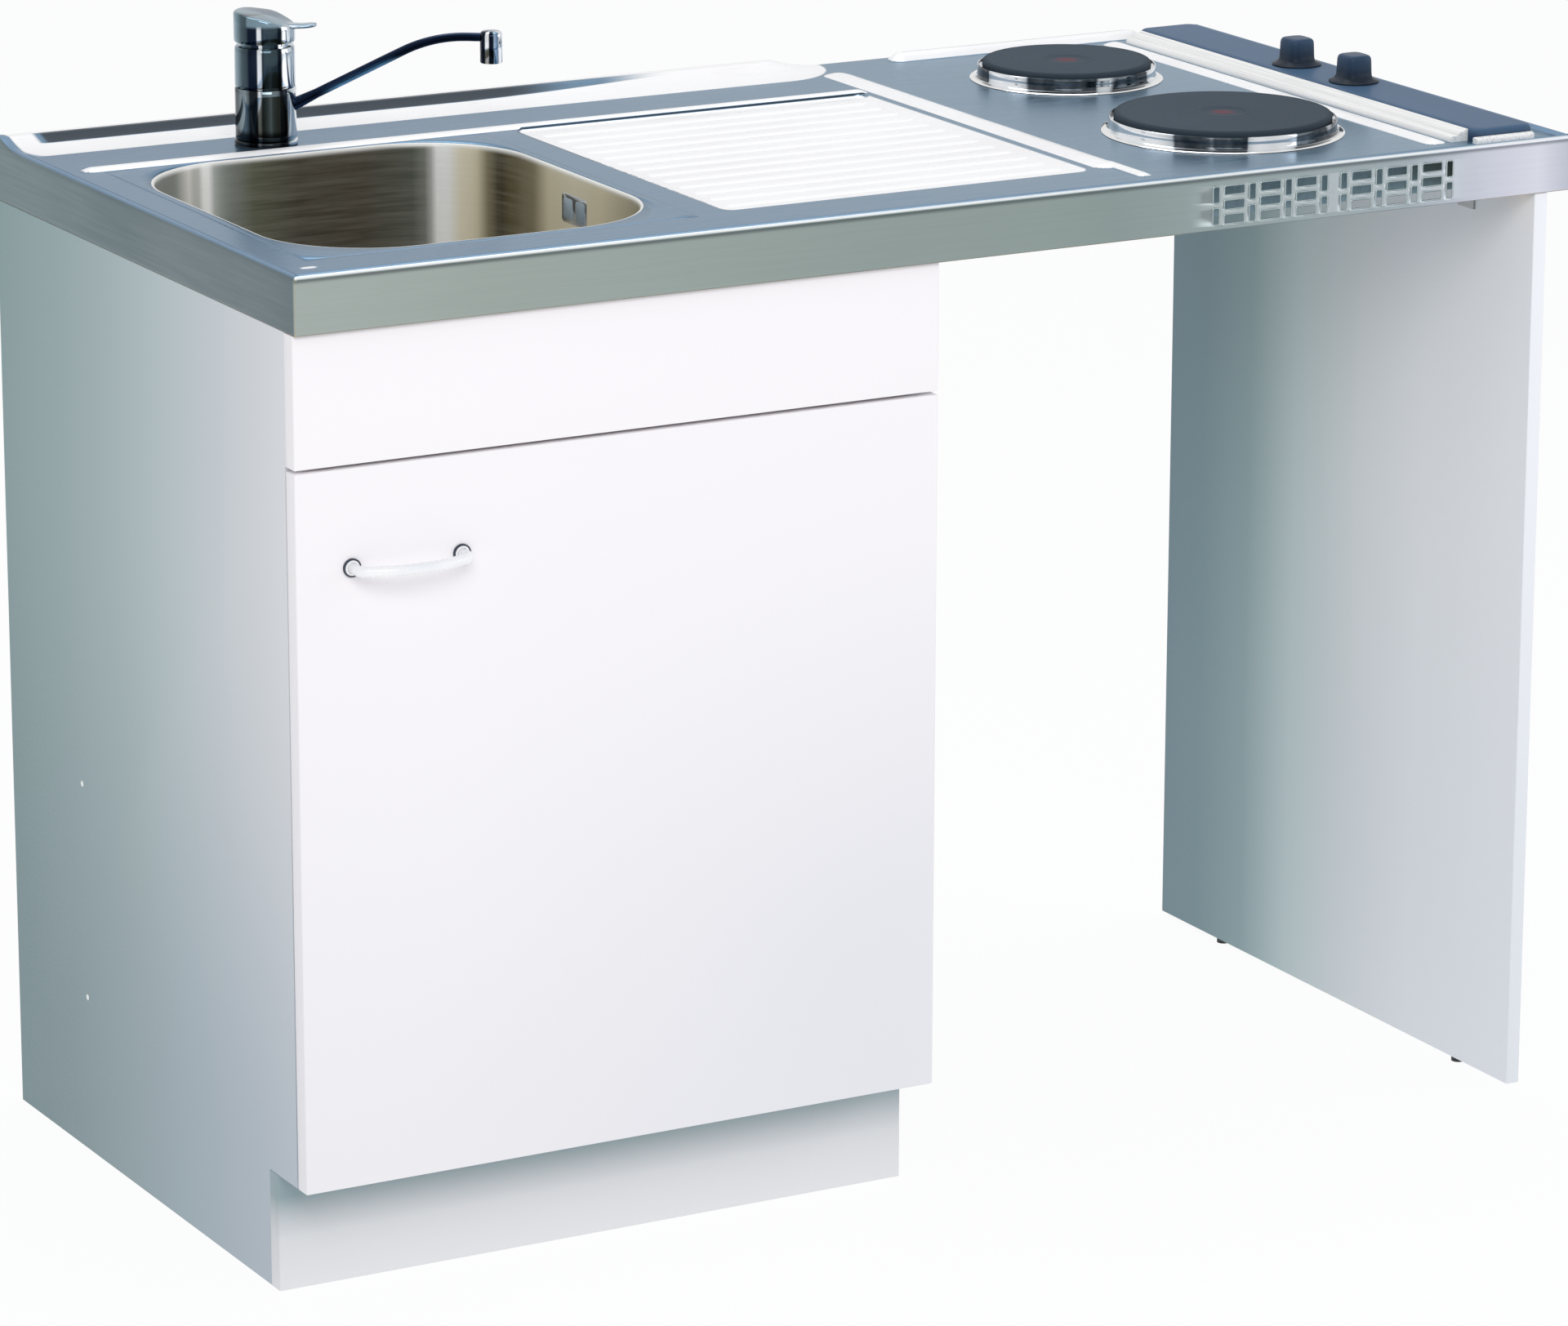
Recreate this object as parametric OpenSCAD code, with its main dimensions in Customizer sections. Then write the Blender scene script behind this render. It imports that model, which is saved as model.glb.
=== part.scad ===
// Sink base cabinet with a one-piece stainless worktop: bowl, drainer, mixer tap,
// two solid hotplates with their switch console, an open bay and an end panel.
// Millimetres, +Z up, +X to the right, front towards -Y. Pieces are drawn from the
// floor point under the worktop's left front corner and unit_frame() centres them.

/* [Worktop] */
// Width of the worktop
worktop_w = 1200; // [1170:5:1400]
// Depth of the worktop, from the fascia to the wall
worktop_d = 600; // [590:5:650]
// Height of the deck above the floor
worktop_top = 850; // [800:5:920]
// Height of the folded fascia
fascia_h = 45; // [42:1:60]
// Thickness of the stainless sheet
sheet_t = 0.8; // [0.6:0.1:1.2]
// Rise of the pressed upstand along the wall
upstand_h = 9; // [5:1:18]
// Width of the flat top of the upstand
upstand_rim = 11; // [6:1:20]
// Width of the cove that leads up to the upstand
cove_w = 52; // [30:1:54]
// Width of the raised anti-drip edge
edge_w = 8; // [5:1:12]
// Height of the raised anti-drip edge
edge_h = 2.5; // [1:0.5:4]
// Height of the pressed beads on the deck
bead_h = 3; // [1.5:0.5:5]
// Width of the bead between the sink and the hob
cross_bead_w = 28; // [16:1:32]
// Width of the bead in front of the tap
ledge_bead_w = 19; // [10:1:20]
// Width of the bead behind the hotplates
hob_bead_w = 24; // [12:1:30]
// Width of the bead beside the console
console_bead_w = 22; // [10:1:24]

/* [Vents] */
// Distance from the worktop's right edge to the first vent slot
vent_in = 363; // [340:1:400]
// Width of a narrow slot
vent_narrow = 6.5; // [4:0.5:8]
// Width of a wide slot
vent_wide = 20; // [12:1:22]
// Web between two slots
vent_web = 4.5; // [3:0.1:5]
// Height of the vent field
vent_h = 32; // [24:1:34]
// Plain web between the two vent groups
vent_gap = 13; // [8:1:20]

/* [Bowl] */
// Distance from the worktop's left edge to the bowl
bowl_x = 48; // [42:1:60]
// Distance from the fascia to the bowl
bowl_y = 73; // [60:1:78]
// Width of the bowl
bowl_w = 330; // [300:5:345]
// Front-to-back size of the bowl
bowl_d = 378; // [340:2:382]
// Depth of the bowl
bowl_depth = 150; // [130:5:170]
// Radius of the bowl's upright corners
bowl_r = 95; // [60:1:120]
// Radius where the walls meet the bowl's floor
bowl_floor_r = 32; // [15:1:45]
// Width of the weld flange round the bowl
bowl_flange = 8; // [5:1:9]

/* [Drainer] */
// Plain strip between the bowl and the drainer
drainer_gap = 40; // [30:1:50]
// Distance from the worktop's right edge to the drainer
drainer_in = 436; // [432:2:480]
// Front-to-back size of the drainer
drainer_d = 384; // [340:2:386]
// Depth of the drainer below the deck
drainer_depth = 2; // [1:0.5:3]
// Number of drainer ribs
drainer_ribs = 13; // [6:1:16]
// Width of a drainer rib
drainer_rib_w = 13; // [8:1:16]

/* [Waste and overflow] */
// Radius of the hole in the bowl's floor
waste_r = 45; // [40:1:50]
// Depth of the strainer cup below the floor
waste_cup_h = 34; // [26:1:40]
// Outside radius of the outlet pipe
outlet_r = 23.9; // [16:0.1:25]
// Length of the outlet pipe
outlet_h = 38; // [25:1:60]
// Height of the overflow's centre above the bowl's floor
overflow_z = 120; // [95:1:124]
// Width of the overflow plate
overflow_w = 46; // [40:1:60]

/* [Cabinet] */
// Width of the cabinet
cabinet_w = 578; // [560:1:600]
// Thickness of the carcass boards
board_t = 16; // [15:1:19]
// Distance from the fascia to the door's face
front_set = 5; // [3:1:10]
// Height of the plinth
plinth_h = 100; // [70:5:150]
// Distance from the fascia to the plinth's face
plinth_set = 60; // [45:1:80]
// Height of the fixed apron above the door
apron_h = 108; // [95:1:130]
// Thickness of the back panel
back_t = 3; // [3:0.5:6]
// Height of the back panel above the plinth line
back_h = 550; // [400:10:590]
// Height of the rear rail
rail_h = 70; // [50:5:90]

/* [Door] */
// Thickness of the door
door_t = 16; // [15:1:18]
// Gap between the apron and the door
door_gap = 3; // [2:0.5:4]
// Gap between the door's back and the carcass edge
door_back_gap = 2.5; // [2.2:0.1:4]
// Distance between the handle's feet
handle_pitch = 96; // [64:32:128]
// Distance from the door's left edge to the first foot
handle_x = 48; // [30:1:70]
// Distance from the door's top edge to the handle
handle_drop = 80; // [50:1:120]
// Thickness of the handle's bar
handle_t = 9; // [7:0.5:10]
// Radius of the handle's rosettes
rosette_r = 7.75; // [7:0.25:10]
// Height of a hinge
hinge_h = 50; // [40:1:70]
// Distance from the door's ends to the hinges
hinge_inset = 85; // [60:1:120]
// Radius of a hinge's knuckle
knuckle_r = 3.8; // [3.4:0.1:4.5]
// Radius of a hinge's pin
hinge_pin_r = 2; // [1.5:0.1:2.4]

/* [Hob] */
// Distance from the worktop's right edge to the front plate's centre
front_plate_in = 248; // [235:1:255]
// Distance from the fascia to the front plate's centre
front_plate_y = 168; // [160:1:180]
// Diameter of the front plate
front_plate_d = 189; // [180:1:192]
// Distance from the worktop's right edge to the rear plate's centre
rear_plate_in = 240; // [230:1:250]
// Distance from the fascia to the rear plate's centre
rear_plate_y = 440; // [425:1:450]
// Diameter of the rear plate
rear_plate_d = 152; // [145:1:160]
// Height of the plates above the deck
plate_rise = 17; // [13:1:20]

/* [Console] */
// Width of the console's raised cover
console_w = 62; // [56:1:64]
// Height of the console's cover
console_h = 11; // [8:1:16]
// Distance from the worktop's right edge to the cover
console_inset = 26; // [24:1:34]
// Width of the stepped trim beside the cover
trim_w = 17; // [12:1:22]
// Distance from the fascia to the front knob
front_knob_y = 255; // [240:1:270]
// Distance between the knobs
knob_pitch = 92; // [70:1:110]
// Radius of a knob's skirt
knob_skirt_r = 22; // [18:0.5:25]
// Radius of a knob's grip
knob_grip_r = 14; // [11:0.5:16]
// Height of a knob
knob_h = 24; // [18:1:28]
// Radius of a switch's shaft
shaft_r = 3; // [2.5:0.25:4]

/* [Tap] */
// Distance from the worktop's left edge to the tap
tap_x = 208; // [160:1:240]
// Distance from the fascia to the tap
tap_y = 503; // [500:1:508]
// Radius of the tap's body
tap_r = 26; // [24:0.5:27]
// Radius of the threaded shank
shank_r = 16; // [14:0.5:17]
// Height of the swivel collar
collar_h = 44; // [36:1:54]
// Height of the fixed body above the collar
tap_body_h = 35; // [30:1:45]
// Height of the lever's cap at its back
cap_h = 26; // [22:1:32]
// Reach of the spout
spout_reach = 193; // [185:1:200]
// Height of the spout's level end above the deck
spout_h = 95; // [90:1:100]
// Length of the spout's level end with its bend
spout_end = 75; // [72:1:80]
// Radius of the spout's tube
spout_r = 4; // [3.5:0.25:5]
// Slope of the spout's tube
spout_slope = 27; // [25:1:31]
// Angle of the spout from +X towards the front, in degrees
spout_turn = 35; // [0:1:60]

/* [End panel] */
// Distance from the worktop's right edge to the end panel
panel_inset = 25; // [15:1:40]
// Thickness of the end panel
panel_t = 13; // [12:0.5:19]
// Depth of the end panel
panel_d = 575; // [520:5:585]
// Height of the glides under the end panel
glide_h = 4; // [3:0.5:8]

/* [Fits] */
// Radial clearance of a turning fit
run_gap = 0.05; // [0.03:0.01:0.08]
// Gap between pieces that pass each other
pass_gap = 0.3; // [0.25:0.05:0.5]

/* [Hidden] */
$fn = 64;

// Levels
deck_z = worktop_top;
deck_under = deck_z - sheet_t;
carcass_top = worktop_top - fascia_h;
apron_z = carcass_top - apron_h;
door_top = apron_z - door_gap;
door_bottom = plinth_h;
door_h = door_top - door_bottom;

// Handle: a post, a bend and a shallow bow on each side
handle_r = handle_t / 2;
bow_angle = 25;
handle_bend_r = handle_t;
handle_post = 10;
bow_r = (handle_pitch / 2 - handle_bend_r * (1 - sin(bow_angle))) / sin(bow_angle);
handle_out = handle_post + handle_bend_r * cos(bow_angle) + bow_r * (1 - cos(bow_angle)) + handle_r;
handle_z = door_top - handle_drop;
handle_feet = [handle_x, handle_x + handle_pitch];
screw_r = 2;
// How far a smoothed weld stands proud of a bent bar or tube
weld_r = 0.05;

// The origin lies on the floor under the middle of the whole outline
front_reach = handle_out - front_set;
frame_x = -worktop_w / 2;
frame_y = (front_reach - worktop_d) / 2;

// Cabinet depths
door_back = front_set + door_t;
carcass_front = door_back + door_back_gap;
carcass_back = worktop_d - 2;
toe_y = plinth_set + board_t;
right_board_x = cabinet_w - board_t;
inside_w = cabinet_w - 2 * board_t;
back_y = carcass_back - board_t - back_t - 1;
groove_d = 6;
dowel_r = 4;
dowel_fit = 0.05;
dowel_in = 10;
dowel_out = 20;
rail_y = carcass_back - board_t;
rail_z = carcass_top - rail_h;
rail_mid = rail_y + board_t / 2;
bottom_mid = plinth_h + board_t / 2;
dowel_points = [
  [toe_y + 24, bottom_mid], [worktop_d / 2, bottom_mid], [back_y - 40, bottom_mid],
  [rail_mid, rail_z + 15], [rail_mid, carcass_top - 15]
];
// Dowels from the side boards' front edges into the apron: depth in the apron, and heights
apron_dowel_in = 9;
apron_dowel_z = [apron_z + 24, carcass_top - 24];
plug_points = [[445, 139], [445, 329]];
plug_r = 2.5;
plug_peg_r = 1.5;
plug_peg = 6;
plug_head = 1;
bracket_leg = 20;
bracket_t = 2;
bracket_h = 60;
// Flat plates that join the end panel to its batten
strap_w = 24;
strap_h = 60;
strap_front = 90;
strap_rear = 126;
strap_hole_r = 2.2;
strap_hole_in = 10;

// Worktop
rear_batten_w = 28;
front_batten_w = 30;
// Battens: gap to the vents and the weld flange, laps left and right of the cabinet's board
vent_clear = 30;
flange_clear = 2;
batten_lap_l = 12;
batten_lap_r = 4;
skirt_in = sheet_t;
edge_set = 0.4;
end_panel_x = worktop_w - panel_inset - panel_t;
vent_x = worktop_w - vent_in;
vent_pitch = vent_narrow + vent_wide + 2 * vent_web;
vent_pairs = 3;
vent_group_w = vent_pairs * vent_pitch + vent_narrow;
vent_z = deck_z - fascia_h / 2 - 1.5 - vent_h / 2;
vent_groups = [vent_x, vent_x + vent_group_w + vent_gap];
vent_end = vent_groups[1] + vent_group_w;
drainer_x = bowl_x + bowl_w + drainer_gap;
drainer_w = worktop_w - drainer_in - drainer_x;
cross_bead_x = drainer_x + drainer_w + 6 + cross_bead_w / 2;
cove_y = worktop_d - upstand_rim - cove_w;
cove_r = (cove_w * cove_w + upstand_h * upstand_h) / (2 * upstand_h);
drainer_r = 12;
ledge_bead_y = bowl_y + bowl_d + ledge_bead_w / 2 + 4;
bead_start = 22;
hob_bead_x = cross_bead_x + 76;
hob_bead_y = worktop_d - hob_bead_w / 2 - 4;
bead_front = 28;
console_x = worktop_w - console_inset - console_w;
console_y = 20;
console_d = hob_bead_y - hob_bead_w / 2 - 2 - console_y;
hob_bead_len = console_x + 14 - hob_bead_x;
console_r = 12;
console_edge_r = 4;
console_t = 1.5;
trim_x = console_x - trim_w;
knob_x = console_x + console_w / 2;
knob_places = [front_knob_y, front_knob_y + knob_pitch];
console_top = deck_z + console_h;

// Bowl and waste
bowl_floor = deck_under - bowl_depth;
bowl_cx = bowl_x + bowl_w / 2;
bowl_cy = bowl_y + bowl_d / 2;
cup_wall = 1.2;
cup_r = waste_r - 3;
body_wall = 2.5;
body_flange_t = 3;
waste_lip = 11;
seal_gap = 1;
cup_floor = bowl_floor - waste_cup_h;
outlet_wall = 3;
outlet_bottom = cup_floor - body_wall - cup_wall - outlet_h;
overflow_level = bowl_floor + overflow_z;
overflow_h = 26;
chamber_d = 18;
chamber_wall = 3;
nozzle_r = 8;
nozzle_wall = 2;
nozzle_h = 20;
overflow_slot = [overflow_w / 3.6, 18];
bowl_right = bowl_x + bowl_w;
// The pressed sheet is drawn in two nodes and the bowl in two, so that each follows its hollow
sheet_split = bowl_right + drainer_gap / 2;
bowl_split = bowl_floor + bowl_floor_r;

// Hob
plate_skirt = 12;
front_plate_x = worktop_w - front_plate_in;
rear_plate_x = worktop_w - rear_plate_in;
plates = [
  [front_plate_x, front_plate_y, front_plate_d / 2],
  [rear_plate_x, rear_plate_y, rear_plate_d / 2]
];
ring_t = 1;
ring_flange = 8;
stud_r = 3;
stud_len = 22;
bar_w = 26;
bar_t = 2;
bar_drop = 7;
bar_over = 4;
bar_foot = 8;
clamp_nut_h = 5;
tray_x = front_plate_x - front_plate_d / 2 - 20;
tray_y = 44;
tray_t = 0.8;
tray_lip = 10;
tray_lip_back = 8;
// Terminal block: size, reach from the plate's middle, gap under the plate and its wire holes
block = [18, 24, 12];
block_reach = 44;
block_gap = 7;
wire_r = 1.6;
wire_z = 5;
wire_pitch = 7;
tray_right = end_panel_x - 2.5;
tray_back = worktop_d - rear_batten_w - 16;
tray_z = carcass_top + 1.5;
switch_w = 30;
switch_h = 32;
shaft_in = 13.7;
gland_r = 5.5;
gland_wall = 3;
gland_hex = 5;
gland_h = 9;
gland_nut_h = 4;
gland_x = knob_x - 18;
gland_y = tray_back - 30;

// Tap
seal_t = 1;
base_h = 4;
base_z = deck_z + seal_t;
collar_z = base_z + base_h + pass_gap;
ring_z = collar_z + collar_h + pass_gap;
body_top = ring_z + tap_body_h;
column_r = tap_r - 10;
cap_gap = 3.5;
cap_z = body_top + cap_gap;
lever_pivot_x = -16;
lever_pivot_z = cap_z + 6;
lever_pin_r = 3;
lever_reach = 45;
spout_bend_r = 120;
spout_bend_x = spout_reach - spout_end;
spout_level = deck_z + spout_h;
spout_bend_z = spout_level - spout_bend_r * (1 - cos(spout_slope));
spout_foot_x = column_r + 4;
outlet_tip_r = 9.5;
outlet_tip_h = 27;
tip_over = 1.6;
tip_top = spout_level + spout_r + tip_over;
shank_h = 56;

// Door furniture
knuckle_set = 0.2;
leaf_set = 0.4;
leaf_t = 1;
hinge_x = cabinet_w + knuckle_r + knuckle_set;
hinge_y = (door_back + carcass_front) / 2;
leaf_frame_w = board_t;
leaf_door_w = 34;
hinge_levels = [door_bottom + hinge_inset - hinge_h / 2, door_top - hinge_inset - hinge_h / 2];
knuckle_h = hinge_h / 3;
catch_z = door_top - 60;

module unit_frame() {
  translate([frame_x, frame_y, 0]) children();
}

// Flat shapes
module rounded_rect(w, d, r) {
  translate([r, 0]) square([w - 2 * r, d]);
  translate([0, r]) square([w, d - 2 * r]);
  for (x = [r, w - r], y = [r, d - r]) translate([x, y]) circle(r);
}

// Half section of a pan: full radius inside, floor edge rounded
module pan_section(r, floor_r, h) {
  translate([0, floor_r - h]) square([r, h - floor_r]);
  translate([0, -h]) square([r - floor_r, h]);
  intersection() {
    translate([r - floor_r, floor_r - h]) circle(floor_r);
    translate([0, -h]) square([r, h]);
  }
}

// Solid with rounded corners and a rounded floor edge, hanging from z = 0
module pan(w, d, r, floor_r, h) {
  translate([r, r, -h]) cube([w - 2 * r, d - 2 * r, h]);
  for (i = [0, 1], j = [0, 1])
    translate([i * (w - 2 * r) + r, j * (d - 2 * r) + r, 0])
      mirror([1 - i, 0, 0]) mirror([0, 1 - j, 0])
        rotate_extrude(angle = 90) pan_section(r, floor_r, h);
  for (j = [0, 1])
    translate([r, j * (d - 2 * r) + r, 0]) mirror([0, 1 - j, 0])
      translate([w - 2 * r, 0, 0]) rotate([90, 0, -90]) mirror([1, 0, 0])
        linear_extrude(w - 2 * r) pan_section(r, floor_r, h);
  for (i = [0, 1])
    translate([i * (w - 2 * r) + r, r, 0]) mirror([1 - i, 0, 0])
      translate([0, d - 2 * r, 0]) rotate([90, 0, 0])
        linear_extrude(d - 2 * r) pan_section(r, floor_r, h);
}

// Radius of a pressed bead of the given width and height
function bead_radius(w, h) = (w * w / 4 + h * h) / (2 * h);

// Section of a bead on one side of its middle line; shrink gives its inner face
module bead_half(w, h, shrink) {
  r = bead_radius(w, h);
  intersection() {
    translate([0, h - r]) circle(r - shrink, $fn = 96);
    translate([0, -sheet_t / 2 - 2 * shrink]) square([w, h + sheet_t / 2 + 2 * shrink]);
  }
}

// Bead with round ends that runs along +X from its first end
module bead(len, w, h, shrink = 0) {
  translate([w / 2, 0, 0]) rotate([90, 0, 90]) linear_extrude(len - w) {
    bead_half(w, h, shrink);
    mirror([1, 0]) bead_half(w, h, shrink);
  }
  translate([w / 2, 0, 0]) rotate([0, 0, 90]) rotate_extrude(angle = 180) bead_half(w, h, shrink);
  translate([len - w / 2, 0, 0]) rotate([0, 0, -90]) rotate_extrude(angle = 180) bead_half(w, h, shrink);
}

// Every pressed bead of the deck
module deck_beads(shrink) {
  translate([cross_bead_x, bead_front, deck_z]) rotate([0, 0, 90])
    bead(cove_y + 10 - bead_front, cross_bead_w, bead_h, shrink);
  translate([trim_x - console_bead_w / 2 - 3, bead_front, deck_z]) rotate([0, 0, 90])
    bead(hob_bead_y - hob_bead_w / 2 - 6 - bead_front, console_bead_w, bead_h, shrink);
  translate([bead_start, ledge_bead_y, deck_z])
    bead(cross_bead_x - cross_bead_w / 2 - bead_start - 2, ledge_bead_w, bead_h, shrink);
  translate([hob_bead_x, hob_bead_y, deck_z])
    bead(hob_bead_len, hob_bead_w, upstand_h - 2, shrink);
}

// Section of the cove and upstand, seen from the side; shrink gives its inner face
module cove_section(shrink) {
  difference() {
    translate([cove_y, -sheet_t - shrink])
      square([worktop_d - shrink - cove_y, upstand_h + sheet_t]);
    translate([cove_y, cove_r]) circle(cove_r + shrink, $fn = 192);
  }
}

// Cove from the left end to the cross bead, where it turns round into the wall
module cove(shrink) {
  turn_x = cross_bead_x + cross_bead_w / 2 - cove_w - upstand_rim;
  translate([shrink, 0, deck_z]) rotate([90, 0, 90]) linear_extrude(turn_x - shrink)
    cove_section(shrink);
  intersection() {
    translate([turn_x, worktop_d, deck_z]) rotate([0, 0, -90]) rotate_extrude(angle = 90)
      translate([worktop_d, 0]) mirror([1, 0]) cove_section(shrink);
    translate([turn_x - 1, 0, deck_under - 1]) cube([cove_w + upstand_rim + 2, worktop_d - shrink, upstand_h + 3]);
  }
}

module vent_slots() {
  for (x = vent_groups) {
    for (i = [0 : vent_pairs], k = [0, 1])
      translate([x + i * vent_pitch, -1, vent_z + k * (vent_h + vent_web) / 2])
        cube([vent_narrow, sheet_t + 2, (vent_h - vent_web) / 2]);
    for (i = [0 : vent_pairs - 1], k = [0 : 2])
      translate([x + i * vent_pitch + vent_narrow + vent_web, -1, vent_z + k * (vent_h + vent_web) / 3])
        cube([vent_wide, sheet_t + 2, (vent_h - 2 * vent_web) / 3]);
  }
}

// Anti-drip edge along the front and both ends
module drip_edge() {
  r = bead_radius(edge_w, edge_h);
  side = edge_set + edge_w / 2;
  intersection() {
    union() {
      translate([0, side, deck_z + edge_h - r]) rotate([0, 90, 0]) cylinder(r = r, h = worktop_w);
      translate([side, 0, deck_z + edge_h - r]) rotate([-90, 0, 0]) cylinder(r = r, h = cove_y + cove_w / 2);
      translate([worktop_w - side, 0, deck_z + edge_h - r]) rotate([-90, 0, 0]) cylinder(r = r, h = worktop_d);
    }
    translate([edge_set, edge_set, deck_z - sheet_t / 2])
      cube([worktop_w - 2 * edge_set, worktop_d - 2 * edge_set, sheet_t / 2 + edge_h]);
  }
}

module pressed_deck() {
  difference() {
    union() {
      translate([0, 0, deck_under]) cube([worktop_w, worktop_d, sheet_t]);
      drip_edge();
      deck_beads(0);
      cove(0);
      translate([drainer_x - sheet_t, bowl_y - sheet_t, deck_z - drainer_depth - sheet_t])
        linear_extrude(drainer_depth)
          rounded_rect(drainer_w + 2 * sheet_t, drainer_d + 2 * sheet_t, drainer_r + sheet_t);
    }
    deck_beads(sheet_t);
    translate([0, 0, -0.01]) cove(sheet_t);
    translate([bowl_x, bowl_y, deck_under - 1]) linear_extrude(sheet_t + 2)
      rounded_rect(bowl_w, bowl_d, bowl_r);
    translate([drainer_x, bowl_y, deck_z - drainer_depth]) linear_extrude(drainer_depth + 2)
      rounded_rect(drainer_w, drainer_d, drainer_r);
    for (p = plates) translate([p[0], p[1], deck_under - 1]) cylinder(r = p[2] - 3, h = sheet_t + 2, $fn = 128);
    translate([tap_x, tap_y, deck_under - 1]) cylinder(r = shank_r + 1.5, h = sheet_t + 2);
    for (y = knob_places) translate([knob_x, y, deck_under - 1]) cylinder(r = shaft_r + 3, h = sheet_t + 2);
  }
  for (i = [0 : drainer_ribs - 1])
    translate([drainer_x + 14, bowl_y + (i + 1) * drainer_d / (drainer_ribs + 1), deck_z - drainer_depth])
      bead(drainer_w - 28, drainer_rib_w, drainer_depth - 0.4);
}

module left_of(x, low, high) {
  translate([-1, -1, low]) cube([x + 1, worktop_d + 2, high - low]);
}

module worktop_sheet() color([0.44, 0.56, 0.67]) unit_frame() difference() {
  pressed_deck();
  left_of(sheet_split, carcass_top, deck_z + fascia_h);
}

module worktop_sink_end() color([0.44, 0.56, 0.67]) unit_frame() intersection() {
  pressed_deck();
  left_of(sheet_split, carcass_top, deck_z + fascia_h);
}

// Folded edge under the deck: fascia with the vents, both ends and the rear skirt
module worktop_fascia() color([0.55, 0.62, 0.6]) unit_frame() difference() {
  translate([0, 0, carcass_top]) cube([worktop_w, worktop_d, fascia_h - sheet_t]);
  translate([skirt_in, skirt_in, carcass_top - 1])
    cube([worktop_w - 2 * skirt_in, worktop_d - 2 * skirt_in, fascia_h + 1]);
  vent_slots();
}

// Battens glued under the deck
module batten(x, y, w, d, top) {
  translate([x, y, carcass_top]) cube([w, d, top - carcass_top]);
}

module front_batten() color([0.8, 0.68, 0.5]) unit_frame() {
  batten(skirt_in, skirt_in, vent_x - vent_clear - skirt_in, front_batten_w, deck_under);
  batten(vent_end + vent_clear, skirt_in, worktop_w - skirt_in - vent_end - vent_clear,
         front_batten_w, deck_under);
}

module rear_batten() color([0.8, 0.68, 0.5]) unit_frame() difference() {
  batten(skirt_in, worktop_d - skirt_in - rear_batten_w, worktop_w - 2 * skirt_in, rear_batten_w, deck_under);
  translate([tap_x, tap_y, carcass_top - 1]) cylinder(r = tap_r + pass_gap, h = fascia_h + 1);
}

module cross_battens() color([0.8, 0.68, 0.5]) unit_frame() {
  y = skirt_in + front_batten_w;
  d = worktop_d - 2 * skirt_in - front_batten_w - rear_batten_w;
  batten(skirt_in, y, bowl_x - bowl_flange - flange_clear - skirt_in, d, deck_under);
  batten(right_board_x - batten_lap_l, y, board_t + batten_lap_l + batten_lap_r, d, deck_z - drainer_depth - sheet_t);
  batten(end_panel_x, y, worktop_w - skirt_in - end_panel_x, d, deck_under);
}

// Bowl, overflow and waste
module bowl_form() difference() {
  union() {
    translate([bowl_x - bowl_flange, bowl_y - bowl_flange, deck_under - sheet_t]) linear_extrude(sheet_t)
      rounded_rect(bowl_w + 2 * bowl_flange, bowl_d + 2 * bowl_flange, bowl_r + bowl_flange);
    translate([bowl_x - sheet_t, bowl_y - sheet_t, deck_under])
      pan(bowl_w + 2 * sheet_t, bowl_d + 2 * sheet_t, bowl_r + sheet_t, bowl_floor_r + sheet_t,
          bowl_depth + sheet_t);
  }
  translate([bowl_x, bowl_y, deck_under]) pan(bowl_w, bowl_d, bowl_r, bowl_floor_r, bowl_depth);
  translate([bowl_cx, bowl_cy, bowl_floor - 3]) cylinder(r = waste_r, h = 6);
  for (s = [-1, 1])
    translate([bowl_right - 1, bowl_cy + s * overflow_w / 4 - overflow_slot[0] / 2,
               overflow_level - overflow_slot[1] / 2])
      cube([sheet_t + 2, overflow_slot[0], overflow_slot[1]]);
}

module sink_bowl() color([0.6, 0.57, 0.48]) unit_frame() difference() {
  bowl_form();
  left_of(bowl_right + 1, bowl_floor - 1 - sheet_t, bowl_split);
}

module bowl_base() color([0.6, 0.57, 0.48]) unit_frame() intersection() {
  bowl_form();
  left_of(bowl_right + 1, bowl_floor - 1 - sheet_t, bowl_split);
}

module overflow_plate() color([0.75, 0.77, 0.78]) unit_frame() difference() {
  translate([bowl_right - 1.5, bowl_cy, overflow_level]) rotate([90, 0, 90]) linear_extrude(1.5)
    translate([-overflow_w / 2, -overflow_h / 2]) rounded_rect(overflow_w, overflow_h, 4);
  for (s = [-1, 1])
    translate([bowl_right - 3, bowl_cy + s * overflow_w / 4 - overflow_slot[0] / 2,
               overflow_level - overflow_slot[1] / 2])
      cube([5, overflow_slot[0], overflow_slot[1]]);
}

module overflow_chamber() color([0.2, 0.2, 0.2]) unit_frame()
  translate([bowl_right + sheet_t, bowl_cy, overflow_level]) {
  difference() {
    union() {
      translate([0, -overflow_w / 2 - chamber_wall, -overflow_h / 2 - chamber_wall])
        cube([chamber_d, overflow_w + 2 * chamber_wall, overflow_h + 2 * chamber_wall]);
      translate([chamber_d / 2, 0, -overflow_h / 2 - nozzle_h]) cylinder(r = nozzle_r, h = nozzle_h);
    }
    translate([-1, -overflow_w / 2, -overflow_h / 2]) cube([chamber_d + 1 - nozzle_wall, overflow_w, overflow_h]);
    translate([chamber_d / 2, 0, -overflow_h / 2 - nozzle_h - 1])
      cylinder(r = nozzle_r - nozzle_wall, h = nozzle_h + 2);
  }
}

module waste_cup() color([0.75, 0.77, 0.78]) unit_frame() translate([bowl_cx, bowl_cy, bowl_floor])
  rotate_extrude() {
    translate([cup_r - cup_wall, 0]) square([waste_r + waste_lip - cup_r + cup_wall, 1.5]);
    translate([cup_r - cup_wall, -waste_cup_h]) square([cup_wall, waste_cup_h]);
    translate([outlet_r - outlet_wall, -waste_cup_h]) square([cup_r - outlet_r + outlet_wall, cup_wall]);
  }

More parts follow.
